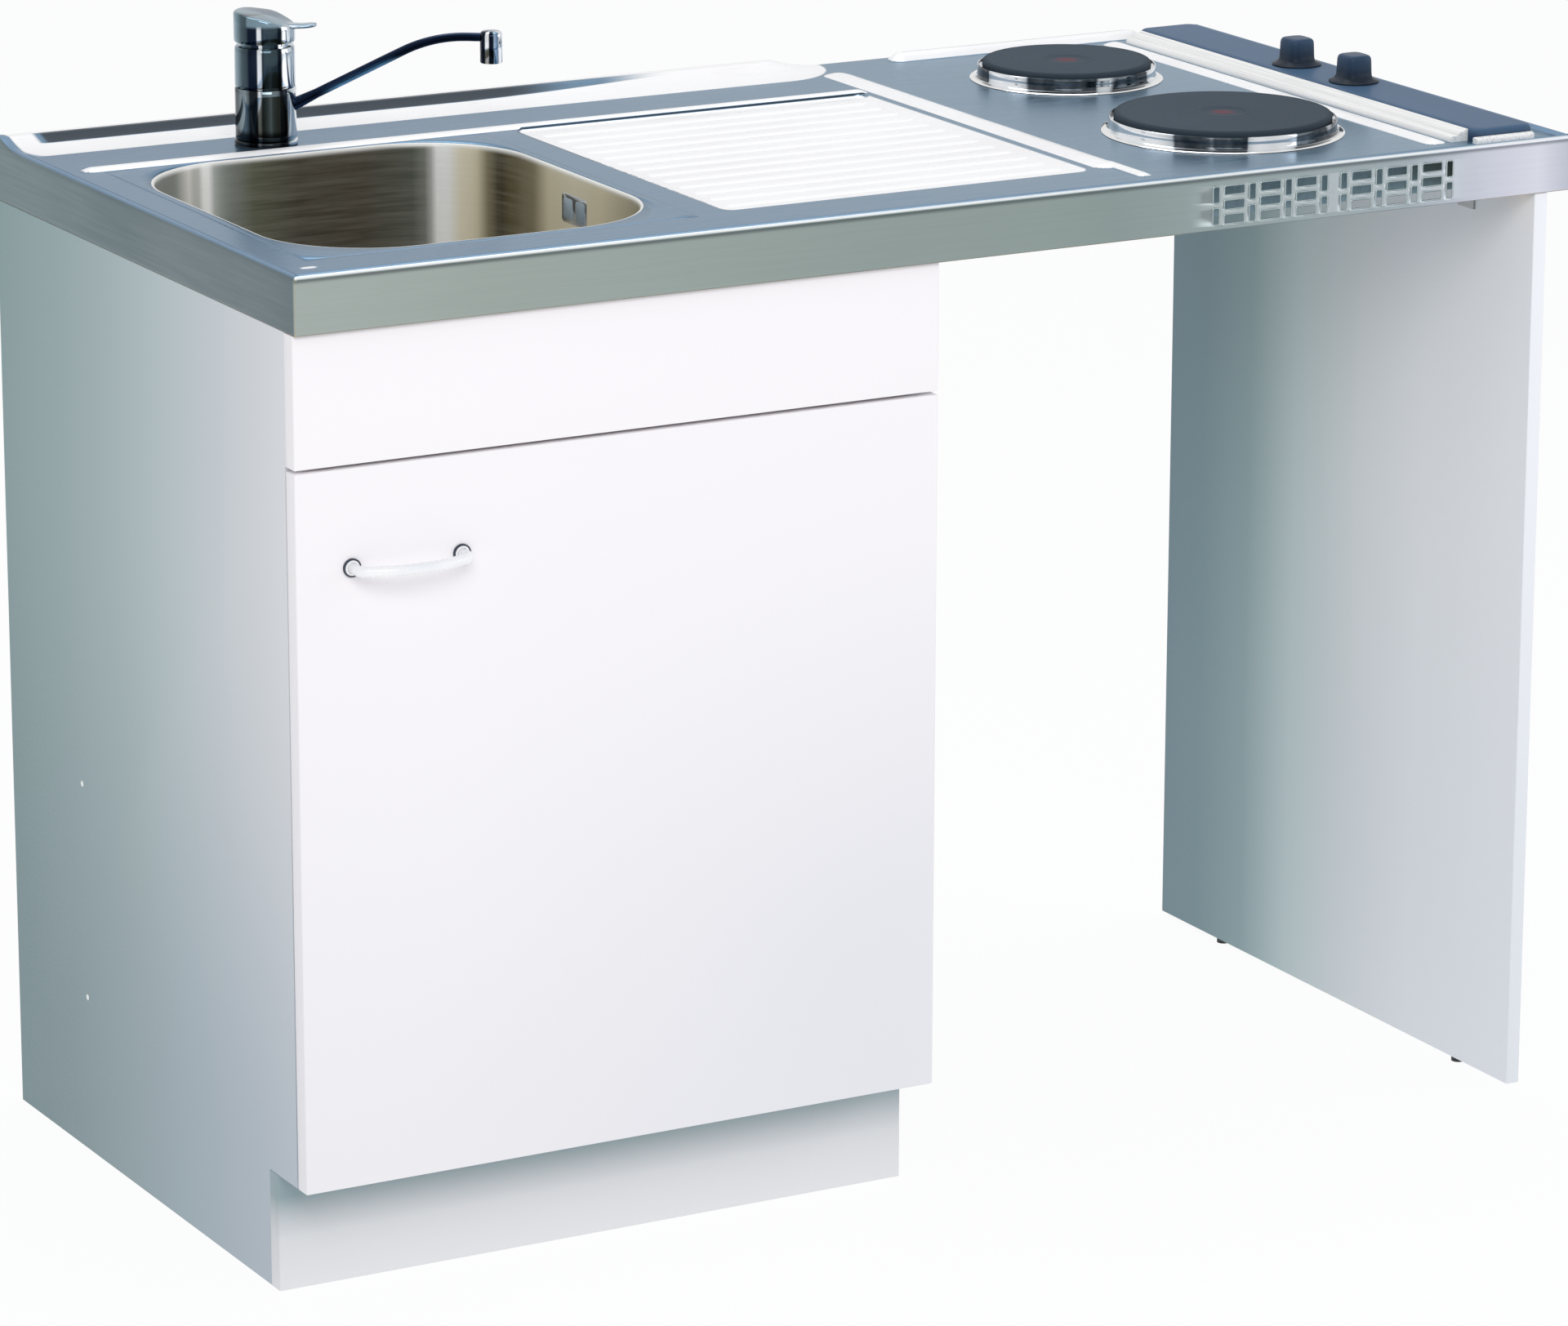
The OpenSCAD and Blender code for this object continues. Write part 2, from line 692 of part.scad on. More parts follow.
module waste_body() color([0.93, 0.93, 0.9]) unit_frame() translate([bowl_cx, bowl_cy, 0]) rotate_extrude() {
  body_r = cup_r + pass_gap;
  translate([body_r, cup_floor]) square([body_wall, bowl_floor - sheet_t - seal_gap - cup_floor]);
  translate([body_r, bowl_floor - sheet_t - seal_gap - body_flange_t])
    square([waste_r + waste_lip - body_r, body_flange_t]);
  translate([outlet_r - outlet_wall, cup_floor - body_wall])
    square([body_r + body_wall - outlet_r + outlet_wall, body_wall]);
  translate([outlet_r - outlet_wall, outlet_bottom]) square([outlet_wall, cup_floor - outlet_bottom]);
  translate([waste_r - 1, bowl_floor - sheet_t - seal_gap]) square([waste_lip + 1, seal_gap]);
}

module strainer_basket() color([0.78, 0.79, 0.8]) unit_frame() translate([bowl_cx, bowl_cy, cup_floor]) {
  rim_r = cup_r - cup_wall - 0.5;
  lift = cup_wall + pass_gap;
  difference() {
    rotate_extrude() {
      translate([0, lift]) square([rim_r - 6, 1.2]);
      translate([rim_r - 7.2, lift]) square([1.2, waste_cup_h - lift - 4]);
      translate([rim_r - 7.2, waste_cup_h - 4]) square([7.2, 1.2]);
    }
    for (a = [0 : 45 : 315], r = [14, 24]) rotate([0, 0, a + r]) translate([r, 0, 0])
      cylinder(r = 2.2, h = 4, $fn = 24);
  }
  rotate_extrude() {
    translate([0, lift]) square([3, waste_cup_h - 8]);
    translate([0, waste_cup_h - 8]) square([8, 5]);
  }
}

// Hotplates: dished face, chamfered rim and a hollow underside with a centre boss
module hotplate(p) {
  top = deck_z + plate_rise;
  translate([p[0], p[1], 0]) rotate_extrude($fn = 128) difference() {
    union() {
      translate([0, top - 7]) polygon([[0, 0], [p[2] - 1, 0], [p[2] - 1, 5.5], [p[2] - 2.5, 7], [0, 7]]);
      translate([0, top - plate_skirt - 8]) square([14, plate_skirt + 2]);
      translate([p[2] - 9, top - plate_skirt]) square([5, plate_skirt - 6]);
      translate([0, top - plate_skirt - 8 - stud_len]) square([stud_r, stud_len]);
    }
    translate([-1, top - 0.8]) square([21, 2]);
  }
}

module hotplate_front() color([0.13, 0.14, 0.16]) unit_frame() hotplate(plates[0]);

module hotplate_rear() color([0.13, 0.14, 0.16]) unit_frame() hotplate(plates[1]);

// Bright rings: a flange on the deck and a wall up to the plate's rim
module plate_rings() color([0.82, 0.84, 0.86]) unit_frame() for (p = plates)
  translate([p[0], p[1], deck_z]) rotate_extrude($fn = 128) {
    r = p[2] + 2;
    translate([p[2] - 5, 0]) square([ring_flange + 7, ring_t]);
    translate([r, 0]) square([ring_t, plate_rise - 4]);
    translate([p[2] - 3, plate_rise - 8.2]) square([5 + ring_t, ring_t]);
  }

module clamp_bars() color([0.7, 0.72, 0.72]) unit_frame() for (p = plates)
  translate([p[0], p[1], deck_under]) {
    difference() {
      translate([-p[2] - bar_over, -bar_w / 2, -bar_drop - bar_t - bar_foot])
        cube([2 * (p[2] + bar_over), bar_w, bar_t]);
      translate([0, 0, -bar_drop - bar_t - bar_foot - 1]) cylinder(r = stud_r + 0.5, h = bar_t + 2);
    }
    for (s = [0, 1]) mirror([s, 0, 0])
      translate([p[2] + bar_over - bar_t, -bar_w / 2, -bar_drop - bar_foot])
        cube([bar_t, bar_w, bar_drop + bar_foot]);
  }

module clamp_nuts() color([0.75, 0.7, 0.5]) unit_frame() for (p = plates)
  translate([p[0], p[1], deck_under - bar_drop - bar_t - bar_foot - clamp_nut_h]) difference() {
    cylinder(r = 2 * stud_r, h = clamp_nut_h, $fn = 6);
    translate([0, 0, -1]) cylinder(r = stud_r + dowel_fit, h = clamp_nut_h + 2);
  }

module terminal_blocks() color([0.9, 0.88, 0.8]) unit_frame() for (p = plates)
  translate([p[0] - block_reach, p[1] - block[1] / 2, deck_z + plate_rise - block_gap - block[2]])
  difference() {
    cube(block);
    for (i = [-1 : 1]) translate([-1, block[1] / 2 + i * wire_pitch, wire_z]) rotate([0, 90, 0])
      cylinder(r = wire_r, h = block[0] + 2, $fn = 24);
  }

module hob_tray() color([0.72, 0.74, 0.75]) unit_frame() difference() {
  union() {
    translate([tray_x, tray_y, tray_z + tray_t])
      cube([tray_right - tray_x, tray_back - tray_y, deck_under - tray_z - tray_t]);
    translate([tray_x - tray_lip, tray_y - tray_lip, deck_under - tray_t])
      cube([tray_right - tray_x + tray_lip, tray_back - tray_y + tray_lip + tray_lip_back, tray_t]);
  }
  translate([tray_x + tray_t, tray_y + tray_t, tray_z])
    cube([tray_right - tray_x - 2 * tray_t, tray_back - tray_y - 2 * tray_t, deck_under - tray_z + 1]);
}

// Cover plate that closes the tray from below and carries the cable gland
module hob_cover() color([0.72, 0.74, 0.75]) unit_frame() difference() {
  translate([tray_x, tray_y, tray_z]) cube([tray_right - tray_x, tray_back - tray_y, tray_t]);
  translate([gland_x, gland_y, tray_z - 1]) cylinder(r = gland_r + gland_wall, h = tray_t + 2);
}

module cable_gland() color([0.15, 0.15, 0.16]) unit_frame() translate([gland_x, gland_y, tray_z]) difference() {
  union() {
    translate([0, 0, -gland_h]) cylinder(r = gland_r + gland_hex, h = gland_h, $fn = 6);
    cylinder(r = gland_r + gland_wall - dowel_fit, h = gland_h);
    translate([0, 0, tray_t]) cylinder(r = gland_r + gland_hex + 1, h = gland_nut_h, $fn = 6);
  }
  translate([0, 0, -gland_h - 1]) cylinder(r = gland_r, h = 2 * gland_h + 2);
}

// Console cover: a shell with round corners and a rounded upper edge
module console_cover() color([0.2, 0.3, 0.4]) unit_frame() difference() {
  translate([console_x, console_y, deck_z]) mirror([0, 0, 1])
    pan(console_w, console_d, console_r, console_edge_r, console_h);
  translate([console_x + console_t, console_y + console_t, deck_z]) mirror([0, 0, 1])
    pan(console_w - 2 * console_t, console_d - 2 * console_t, console_r - console_t,
        console_edge_r - console_t, console_h - console_t);
  for (y = knob_places) translate([knob_x, y, deck_z + 1]) cylinder(r = shaft_r + 1, h = console_h);
}

module console_trim() color([0.85, 0.86, 0.88]) unit_frame()
  translate([trim_x, console_y + console_d - console_r, deck_z]) rotate([90, 0, 0])
    linear_extrude(console_d - 2 * console_r) polygon([
      [0, 0], [0, 0.35 * console_h], [1, 0.45 * console_h], [0.42 * trim_w, 0.45 * console_h],
      [0.5 * trim_w, 0.72 * console_h], [0.8 * trim_w, 0.78 * console_h],
      [0.86 * trim_w, 0.93 * console_h], [trim_w - 0.2, 0.93 * console_h], [trim_w - 0.2, 0]
    ]);

module switch_bodies() color([0.88, 0.86, 0.8]) unit_frame() for (y = knob_places)
  translate([knob_x, y, deck_under - switch_h]) difference() {
    union() {
      translate([-switch_w / 2, -switch_w / 2, 0]) cube([switch_w, switch_w, switch_h]);
      translate([-switch_w / 2 + 4, switch_w / 2, 4]) cube([switch_w - 8, 6, 3]);
    }
    translate([0, 0, switch_h - shaft_in - pass_gap]) cylinder(r = shaft_r + run_gap, h = shaft_in + 1);
  }

module shaft(y) {
  shaft_len = shaft_in + sheet_t + console_h + knob_h - 8;
  translate([knob_x, y, deck_under - shaft_in]) difference() {
    cylinder(r = shaft_r, h = shaft_len);
    translate([shaft_r - 1, -shaft_r, shaft_len - 10]) cube([2, 2 * shaft_r, 11]);
  }
}

module front_shaft() color([0.8, 0.76, 0.6]) unit_frame() shaft(knob_places[0]);

module rear_shaft() color([0.8, 0.76, 0.6]) unit_frame() shaft(knob_places[1]);

// Knob: coned skirt, tapered grip with a raised pointer, bore for the flatted shaft
module knob(y) {
  bore_h = knob_h - 7;
  translate([knob_x, y, console_top + pass_gap]) difference() {
    union() {
      cylinder(r = knob_skirt_r, h = 1.5);
      translate([0, 0, 1.5]) cylinder(r1 = knob_skirt_r - 1, r2 = knob_grip_r, h = 4.5);
      cylinder(r1 = knob_grip_r + 0.5, r2 = knob_grip_r - 0.5, h = knob_h - 1);
      translate([0, 0, knob_h - 1]) cylinder(r1 = knob_grip_r - 0.5, r2 = knob_grip_r - 1.5, h = 1);
      translate([-1, -knob_grip_r - 1.6, 3]) cube([2, 4, knob_h - 4]);
    }
    translate([0, 0, -1]) difference() {
      cylinder(r = shaft_r + dowel_fit, h = bore_h + 1);
      translate([shaft_r - 1 + dowel_fit, -shaft_r - 1, bore_h - 9]) cube([3, 2 * shaft_r + 2, 12]);
    }
  }
}

module front_knob() color([0.16, 0.24, 0.32]) unit_frame() knob(knob_places[0]);

module rear_knob() color([0.16, 0.24, 0.32]) unit_frame() knob(knob_places[1]);

// Tap, drawn round its own axis with the lever and spout along +X, then turned
module tap_frame() {
  unit_frame() translate([tap_x, tap_y, 0]) rotate([0, 0, -spout_turn]) children();
}

module tap_body() color([0.5, 0.58, 0.65]) tap_frame() difference() {
  rotate_extrude() {
    translate([0, base_z]) square([tap_r + 1, base_h]);
    translate([0, base_z]) square([column_r, ring_z - base_z]);
    translate([0, ring_z]) square([tap_r - 0.4, tap_body_h]);
    translate([0, base_z - shank_h]) square([shank_r, shank_h]);
  }
  translate([0, 0, body_top - 20]) cylinder(r = 10, h = 21);
  for (s = [-1, 1]) translate([0, s * 7.5, base_z - shank_h - 1]) cylinder(r = 4.5, h = 15, $fn = 48);
}

module tap_seal() color([0.1, 0.1, 0.1]) tap_frame()
  rotate_extrude() translate([shank_r + 0.5, deck_z]) square([tap_r - shank_r - 0.5, seal_t]);

module tap_nut() color([0.78, 0.7, 0.45]) tap_frame() translate([0, 0, deck_under]) difference() {
  union() {
    translate([0, 0, -3]) cylinder(r = tap_r, h = 3);
    translate([0, 0, -13]) cylinder(r = shank_r + 6, h = 10, $fn = 6);
  }
  translate([0, 0, -14]) cylinder(r = shank_r + dowel_fit, h = 15);
}

// Spout tube: straight climb, one bend to level, then into the outlet
module spout_tube(r) {
  run = spout_bend_r * sin(spout_slope);
  translate([spout_bend_x, 0, spout_bend_z]) {
    rotate([0, 90 - spout_slope, 0]) {
      translate([0, 0, -(spout_bend_x - spout_foot_x) / cos(spout_slope)])
        cylinder(r = r, h = (spout_bend_x - spout_foot_x) / cos(spout_slope));
      sphere(r + weld_r);
      translate([spout_bend_r, 0, 0]) rotate([90, 0, 0]) rotate([0, 0, 180 - spout_slope])
        rotate_extrude(angle = spout_slope) translate([spout_bend_r, 0]) circle(r);
    }
    translate([run, 0, spout_level - spout_bend_z]) {
      sphere(r + weld_r);
      rotate([0, 90, 0]) cylinder(r = r, h = spout_end - run - outlet_tip_r / 2);
    }
  }
}

module spout() color([0.45, 0.53, 0.62]) tap_frame() difference() {
  union() {
    translate([0, 0, collar_z]) cylinder(r = tap_r, h = collar_h);
    spout_tube(spout_r);
    translate([spout_reach, 0, tip_top - outlet_tip_h]) cylinder(r = outlet_tip_r, h = outlet_tip_h);
  }
  translate([0, 0, collar_z - 1]) cylinder(r = column_r + run_gap, h = collar_h + 2);
  translate([spout_reach, 0, tip_top - outlet_tip_h - 1]) cylinder(r = outlet_tip_r - 1.5, h = 13);
}

module aerator() color([0.7, 0.72, 0.75]) tap_frame()
  translate([spout_reach, 0, tip_top - outlet_tip_h]) difference() {
    cylinder(r = outlet_tip_r - 1.55, h = 10);
    translate([0, 0, -1]) cylinder(r = outlet_tip_r - 3, h = 6);
  }

module lever_carrier() color([0.6, 0.6, 0.6]) tap_frame() {
  translate([0, 0, body_top - 18]) cylinder(r = 10 - run_gap, h = 18);
  intersection() {
    translate([lever_pivot_x - 5, -9, body_top]) cube([17, 18, lever_pivot_z + 3.5 - body_top]);
    translate([0, 0, body_top]) cylinder(r = 18.5, h = 30);
  }
  translate([lever_pivot_x, 13, lever_pivot_z]) rotate([90, 0, 0]) cylinder(r = lever_pin_r, h = 26);
}

// Lever: hollow cap with two ears on the cross pin, sloping top and a flat blade
module lever() color([0.55, 0.62, 0.7]) tap_frame() difference() {
  union() {
    intersection() {
      translate([0, 0, cap_z]) cylinder(r = tap_r, h = cap_h);
      translate([-tap_r, -tap_r, 0]) rotate([90, 0, 0]) mirror([0, 0, 1]) linear_extrude(2 * tap_r)
        polygon([[-1, cap_z], [2 * tap_r + 1, cap_z], [2 * tap_r + 1, cap_z + 0.55 * cap_h],
                 [0.9 * tap_r, cap_z + 0.9 * cap_h], [0, cap_z + cap_h], [-1, cap_z + cap_h]]);
    }
    translate([0, 0, cap_z + 0.42 * cap_h]) linear_extrude(4) {
      translate([10, -8]) square([lever_reach - 16, 16]);
      translate([lever_reach - 8, 0]) circle(8);
    }
  }
  difference() {
    translate([0, 0, cap_z - 1]) cylinder(r = tap_r - 2.5, h = 0.42 * cap_h + 1);
    for (s = [-1, 1]) translate([lever_pivot_x - 6, s * 12.2 - 2, cap_z]) cube([12, 4, cap_h]);
  }
  intersection() {
    translate([lever_pivot_x - 8, -9.7, cap_z - 1]) cube([23, 19.4, 0.42 * cap_h + 2]);
    translate([0, 0, cap_z - 1]) cylinder(r = tap_r - 2.5, h = cap_h);
  }
  translate([lever_pivot_x, 13 + dowel_fit, lever_pivot_z]) rotate([90, 0, 0])
    cylinder(r = lever_pin_r + run_gap, h = 26 + 2 * dowel_fit);
}

// Carcass
module side_outline() {
  polygon([
    [toe_y, 0], [carcass_back, 0], [carcass_back, carcass_top], [door_back, carcass_top],
    [door_back, apron_z], [carcass_front, apron_z], [carcass_front, plinth_h], [toe_y, plinth_h]
  ]);
}

// Side board standing on its outer face at x = 0, inner face at x = board_t
module side_board() {
  difference() {
    rotate([90, 0, 90]) linear_extrude(board_t) side_outline();
    translate([board_t - groove_d, back_y, plinth_h]) cube([groove_d + 1, back_t, back_h]);
    for (p = dowel_points) translate([board_t - dowel_in - 1, p[0], p[1]]) rotate([0, 90, 0])
      cylinder(r = dowel_r + dowel_fit, h = dowel_in + 2, $fn = 32);
    for (z = apron_dowel_z) translate([board_t / 2, door_back - 1, z]) rotate([-90, 0, 0])
      cylinder(r = dowel_r + dowel_fit, h = dowel_out + 2, $fn = 32);
  }
}

module side_panel_left() color([0.87, 0.88, 0.88]) unit_frame() difference() {
  side_board();
  for (p = plug_points) translate([-1, p[0], p[1]]) rotate([0, 90, 0]) {
    cylinder(r = plug_r + dowel_fit, h = plug_head + 1, $fn = 32);
    cylinder(r = plug_peg_r + dowel_fit, h = plug_peg + 2, $fn = 32);
  }
}

module side_panel_right() color([0.87, 0.88, 0.88]) unit_frame()
  translate([cabinet_w, 0, 0]) mirror([1, 0, 0]) side_board();

module dowel_cuts(points) {
  for (p = points, x = [board_t - 1, right_board_x - dowel_out - 1])
    translate([x, p[0], p[1]]) rotate([0, 90, 0])
      cylinder(r = dowel_r + dowel_fit, h = dowel_out + 2, $fn = 32);
}

module bottom_panel() color([0.9, 0.9, 0.89]) unit_frame() difference() {
  translate([board_t, carcass_front, plinth_h]) cube([inside_w, back_y - carcass_front, board_t]);
  dowel_cuts([for (i = [0 : 2]) dowel_points[i]]);
}

module back_panel() color([0.82, 0.8, 0.76]) unit_frame()
  translate([board_t - groove_d, back_y, plinth_h]) cube([inside_w + 2 * groove_d, back_t, back_h]);

module rear_rail() color([0.9, 0.9, 0.89]) unit_frame() difference() {
  translate([board_t, rail_y, rail_z]) cube([inside_w, board_t, rail_h]);
  dowel_cuts([dowel_points[3], dowel_points[4]]);
}

module apron() color([0.95, 0.94, 0.94]) unit_frame() difference() {
  translate([0, front_set, apron_z]) cube([cabinet_w, door_t, apron_h]);
  for (x = [board_t / 2, cabinet_w - board_t / 2], z = apron_dowel_z)
    translate([x, door_back - apron_dowel_in - 0.5, z]) rotate([-90, 0, 0])
      cylinder(r = dowel_r + dowel_fit, h = apron_dowel_in + 1, $fn = 32);
}

module plinth_board() color([0.9, 0.9, 0.9]) unit_frame()
  translate([0, plinth_set, 0]) cube([cabinet_w, board_t, plinth_h]);

module carcass_dowels() color([0.85, 0.72, 0.5]) unit_frame() for (s = [0, 1])
  translate([s * cabinet_w, 0, 0]) mirror([s, 0, 0]) {
    for (p = dowel_points) translate([board_t - dowel_in, p[0], p[1]]) rotate([0, 90, 0])
      cylinder(r = dowel_r, h = dowel_in + dowel_out - 1, $fn = 32);
    for (z = apron_dowel_z) translate([board_t / 2, door_back - apron_dowel_in, z]) rotate([-90, 0, 0])
      cylinder(r = dowel_r, h = apron_dowel_in + dowel_out, $fn = 32);
  }

module side_plugs() color([0.97, 0.97, 0.97]) unit_frame()
  for (p = plug_points) translate([0, p[0], p[1]]) rotate([0, 90, 0]) {
    cylinder(r = plug_r, h = plug_head, $fn = 32);
    cylinder(r = plug_peg_r, h = plug_peg, $fn = 32);
  }

module apron_brackets() color([0.7, 0.72, 0.72]) unit_frame()
  for (s = [0, 1]) translate([s * cabinet_w, 0, 0]) mirror([s, 0, 0])
    translate([board_t, door_back, apron_z + (apron_h - bracket_h) / 2])
      difference() {
        linear_extrude(bracket_h) polygon([
          [0, 0], [bracket_leg, 0], [bracket_leg, bracket_t], [bracket_t, bracket_t],
          [bracket_t, bracket_leg], [0, bracket_leg]
        ]);
        for (z = [12, bracket_h - 12]) {
          translate([12, -1, z]) rotate([-90, 0, 0]) cylinder(r = 2, h = 4, $fn = 24);
          translate([-1, 12, z]) rotate([0, 90, 0]) cylinder(r = 2, h = 4, $fn = 24);
        }
      }

// Door and its furniture
module door() color([0.95, 0.94, 0.94]) unit_frame() difference() {
  translate([0, front_set, door_bottom]) cube([cabinet_w, door_t, door_h]);
  for (x = handle_feet) translate([x, front_set - 1, handle_z]) rotate([-90, 0, 0])
    cylinder(r = screw_r + 0.25, h = door_t + 2, $fn = 32);
}

module handle() color([0.97, 0.97, 0.98]) unit_frame()
  translate([handle_x + handle_pitch / 2, front_set, handle_z]) difference() {
    union() {
      for (s = [0, 1]) mirror([s, 0, 0]) {
        translate([-handle_pitch / 2, 0, 0]) rotate([90, 0, 0]) cylinder(r = handle_r, h = handle_post);
        translate([-handle_pitch / 2, -handle_post, 0]) sphere(handle_r + weld_r);
        translate([-handle_pitch / 2 + handle_bend_r, -handle_post, 0]) rotate([0, 0, 180]) {
          rotate_extrude(angle = 90 - bow_angle) translate([handle_bend_r, 0]) circle(handle_r);
          rotate([0, 0, 90 - bow_angle]) translate([handle_bend_r, 0, 0]) sphere(handle_r + weld_r);
        }
      }
      translate([0, -handle_out + handle_r + bow_r, 0]) rotate([0, 0, 270 - bow_angle])
        rotate_extrude(angle = 2 * bow_angle, $fn = 256) translate([bow_r, 0]) circle(handle_r, $fn = 64);
    }
    for (s = [-1, 1]) translate([s * handle_pitch / 2, 1, 0]) rotate([90, 0, 0])
      cylinder(r = screw_r + dowel_fit, h = handle_post + 1, $fn = 32);
  }

module handle_rosettes() color([0.96, 0.96, 0.97]) unit_frame()
  for (x = handle_feet) translate([x, front_set, handle_z]) rotate([90, 0, 0]) difference() {
    union() {
      cylinder(r = rosette_r, h = 1.6);
      translate([0, 0, 1.6]) cylinder(r1 = rosette_r, r2 = rosette_r - 1, h = 0.9);
    }
    translate([0, 0, -1]) cylinder(r = handle_r + dowel_fit, h = 5);
  }

module handle_screws() color([0.75, 0.75, 0.76]) unit_frame()
  for (x = handle_feet) translate([x, door_back, handle_z]) rotate([90, 0, 0]) {
    cylinder(r = screw_r, h = door_t + handle_post - 2, $fn = 32);
    translate([0, 0, -2]) cylinder(r1 = 3.2, r2 = 4, h = 2, $fn = 32);
  }

module knuckle(z0, h, bore_r) {
  translate([hinge_x, hinge_y, z0]) difference() {
    cylinder(r = knuckle_r, h = h, $fn = 48);
    translate([0, 0, -1]) cylinder(r = bore_r, h = h + 2, $fn = 48);
  }
}

// Leaf from the board to the knuckle; it stops at the pin's clearance
module leaf(x0, y0, z0, h) {
  difference() {
    translate([x0, y0, z0]) cube([hinge_x - x0 - hinge_pin_r, leaf_t, h]);
    translate([hinge_x, hinge_y, z0 - 1]) cylinder(r = hinge_pin_r + run_gap, h = h + 2, $fn = 48);
  }
}

module hinge_frame_leaves() color([0.72, 0.73, 0.74]) unit_frame() for (z = hinge_levels) {
  translate([right_board_x, carcass_front - leaf_t, z]) difference() {
    cube([leaf_frame_w - leaf_set, leaf_t, hinge_h]);
    for (h = [10, hinge_h - 10]) translate([leaf_frame_w / 2, -1, h]) rotate([-90, 0, 0])
      cylinder(r = 2, h = leaf_t + 2, $fn = 24);
  }
  for (h = [0, 2 * knuckle_h]) {
    knuckle(z + h, knuckle_h, hinge_pin_r + run_gap / 2);
    leaf(right_board_x + leaf_frame_w - 1, carcass_front - leaf_t, z + h, knuckle_h);
  }
}

module hinge_door_leaves() color([0.72, 0.73, 0.74]) unit_frame() for (z = hinge_levels) {
  translate([cabinet_w - leaf_door_w, door_back, z]) difference() {
    cube([leaf_door_w - leaf_set, leaf_t, hinge_h]);
    for (h = [10, hinge_h - 10]) translate([10, -1, h]) rotate([-90, 0, 0])
      cylinder(r = 2, h = leaf_t + 2, $fn = 24);
  }
  knuckle(z + knuckle_h + pass_gap, knuckle_h - 2 * pass_gap, hinge_pin_r + run_gap);
  leaf(cabinet_w - 1, door_back, z + knuckle_h + pass_gap, knuckle_h - 2 * pass_gap);
}

module hinge_pins() color([0.65, 0.66, 0.68]) unit_frame() for (z = hinge_levels)
  translate([hinge_x, hinge_y, z - 1.5]) {
    cylinder(r = knuckle_r - 0.8, h = 1.5, $fn = 48);
    cylinder(r = hinge_pin_r, h = hinge_h + 1.5, $fn = 48);
  }

module catch_body() color([0.95, 0.95, 0.95]) unit_frame()
  translate([board_t, carcass_front + 1, catch_z]) {
    cube([14, 34, 20]);
    translate([2, -1.4, 3]) cube([3, 2, 14]);
    translate([9, -1.4, 3]) cube([3, 2, 14]);
  }

module catch_plate() color([0.72, 0.73, 0.74]) unit_frame()
  translate([board_t - 1, door_back, catch_z + 1]) cube([17, carcass_front - door_back - 0.4 - pass_gap, 18]);

module door_bumpers() color([0.9, 0.92, 0.93]) unit_frame() for (z = [door_bottom + 40, door_top - 40])
  translate([board_t / 2, carcass_front, z]) rotate([90, 0, 0])
    cylinder(r = 4, h = door_back_gap - pass_gap, $fn = 32);

// End panel that carries the right end of the worktop
module end_panel() color([0.87, 0.89, 0.9]) unit_frame() difference() {
  translate([end_panel_x, 2, glide_h]) cube([panel_t, panel_d, carcass_top - glide_h]);
  for (y = [87, panel_d - 97]) translate([end_panel_x + panel_t / 2, y, glide_h - 1])
    cylinder(r = 1.5 + dowel_fit, h = 14, $fn = 24);
}

module panel_glides() color([0.15, 0.15, 0.16]) unit_frame() for (y = [87, panel_d - 97])
  translate([end_panel_x + panel_t / 2, y, 0]) {
    cylinder(r = panel_t / 2 - 0.5, h = glide_h);
    cylinder(r = 1.5, h = glide_h + 12, $fn = 24);
  }

module panel_plates() color([0.7, 0.72, 0.72]) unit_frame()
  for (y = [strap_front, worktop_d - strap_rear - strap_w])
  translate([end_panel_x - bracket_t, y, carcass_top - strap_h / 2]) difference() {
    cube([bracket_t, strap_w, strap_h]);
    for (z = [strap_hole_in, strap_h - strap_hole_in]) translate([-1, strap_w / 2, z]) rotate([0, 90, 0])
      cylinder(r = strap_hole_r, h = bracket_t + 2, $fn = 24);
  }

side_panel_left();
side_panel_right();
bottom_panel();
back_panel();
rear_rail();
apron();
plinth_board();
carcass_dowels();
side_plugs();
apron_brackets();
worktop_sheet();
worktop_sink_end();
worktop_fascia();
front_batten();
rear_batten();
cross_battens();
sink_bowl();
bowl_base();
overflow_plate();
overflow_chamber();
waste_cup();
waste_body();
strainer_basket();
hotplate_front();
hotplate_rear();
plate_rings();
clamp_bars();
clamp_nuts();
terminal_blocks();
hob_tray();
hob_cover();
cable_gland();
console_cover();
console_trim();
switch_bodies();
front_shaft();
rear_shaft();
front_knob();
rear_knob();
tap_body();
tap_seal();
tap_nut();
spout();
aerator();
lever_carrier();
lever();
door();
handle();
handle_rosettes();
handle_screws();
hinge_frame_leaves();
hinge_door_leaves();
hinge_pins();
catch_body();
catch_plate();
door_bumpers();
end_panel();
panel_glides();
panel_plates();
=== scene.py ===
"""Looks of the sink unit: stainless worktop with bowl, drainer, tap and hob over a white cabinet."""

import math

import bmesh
import bpy
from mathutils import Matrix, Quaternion, Vector


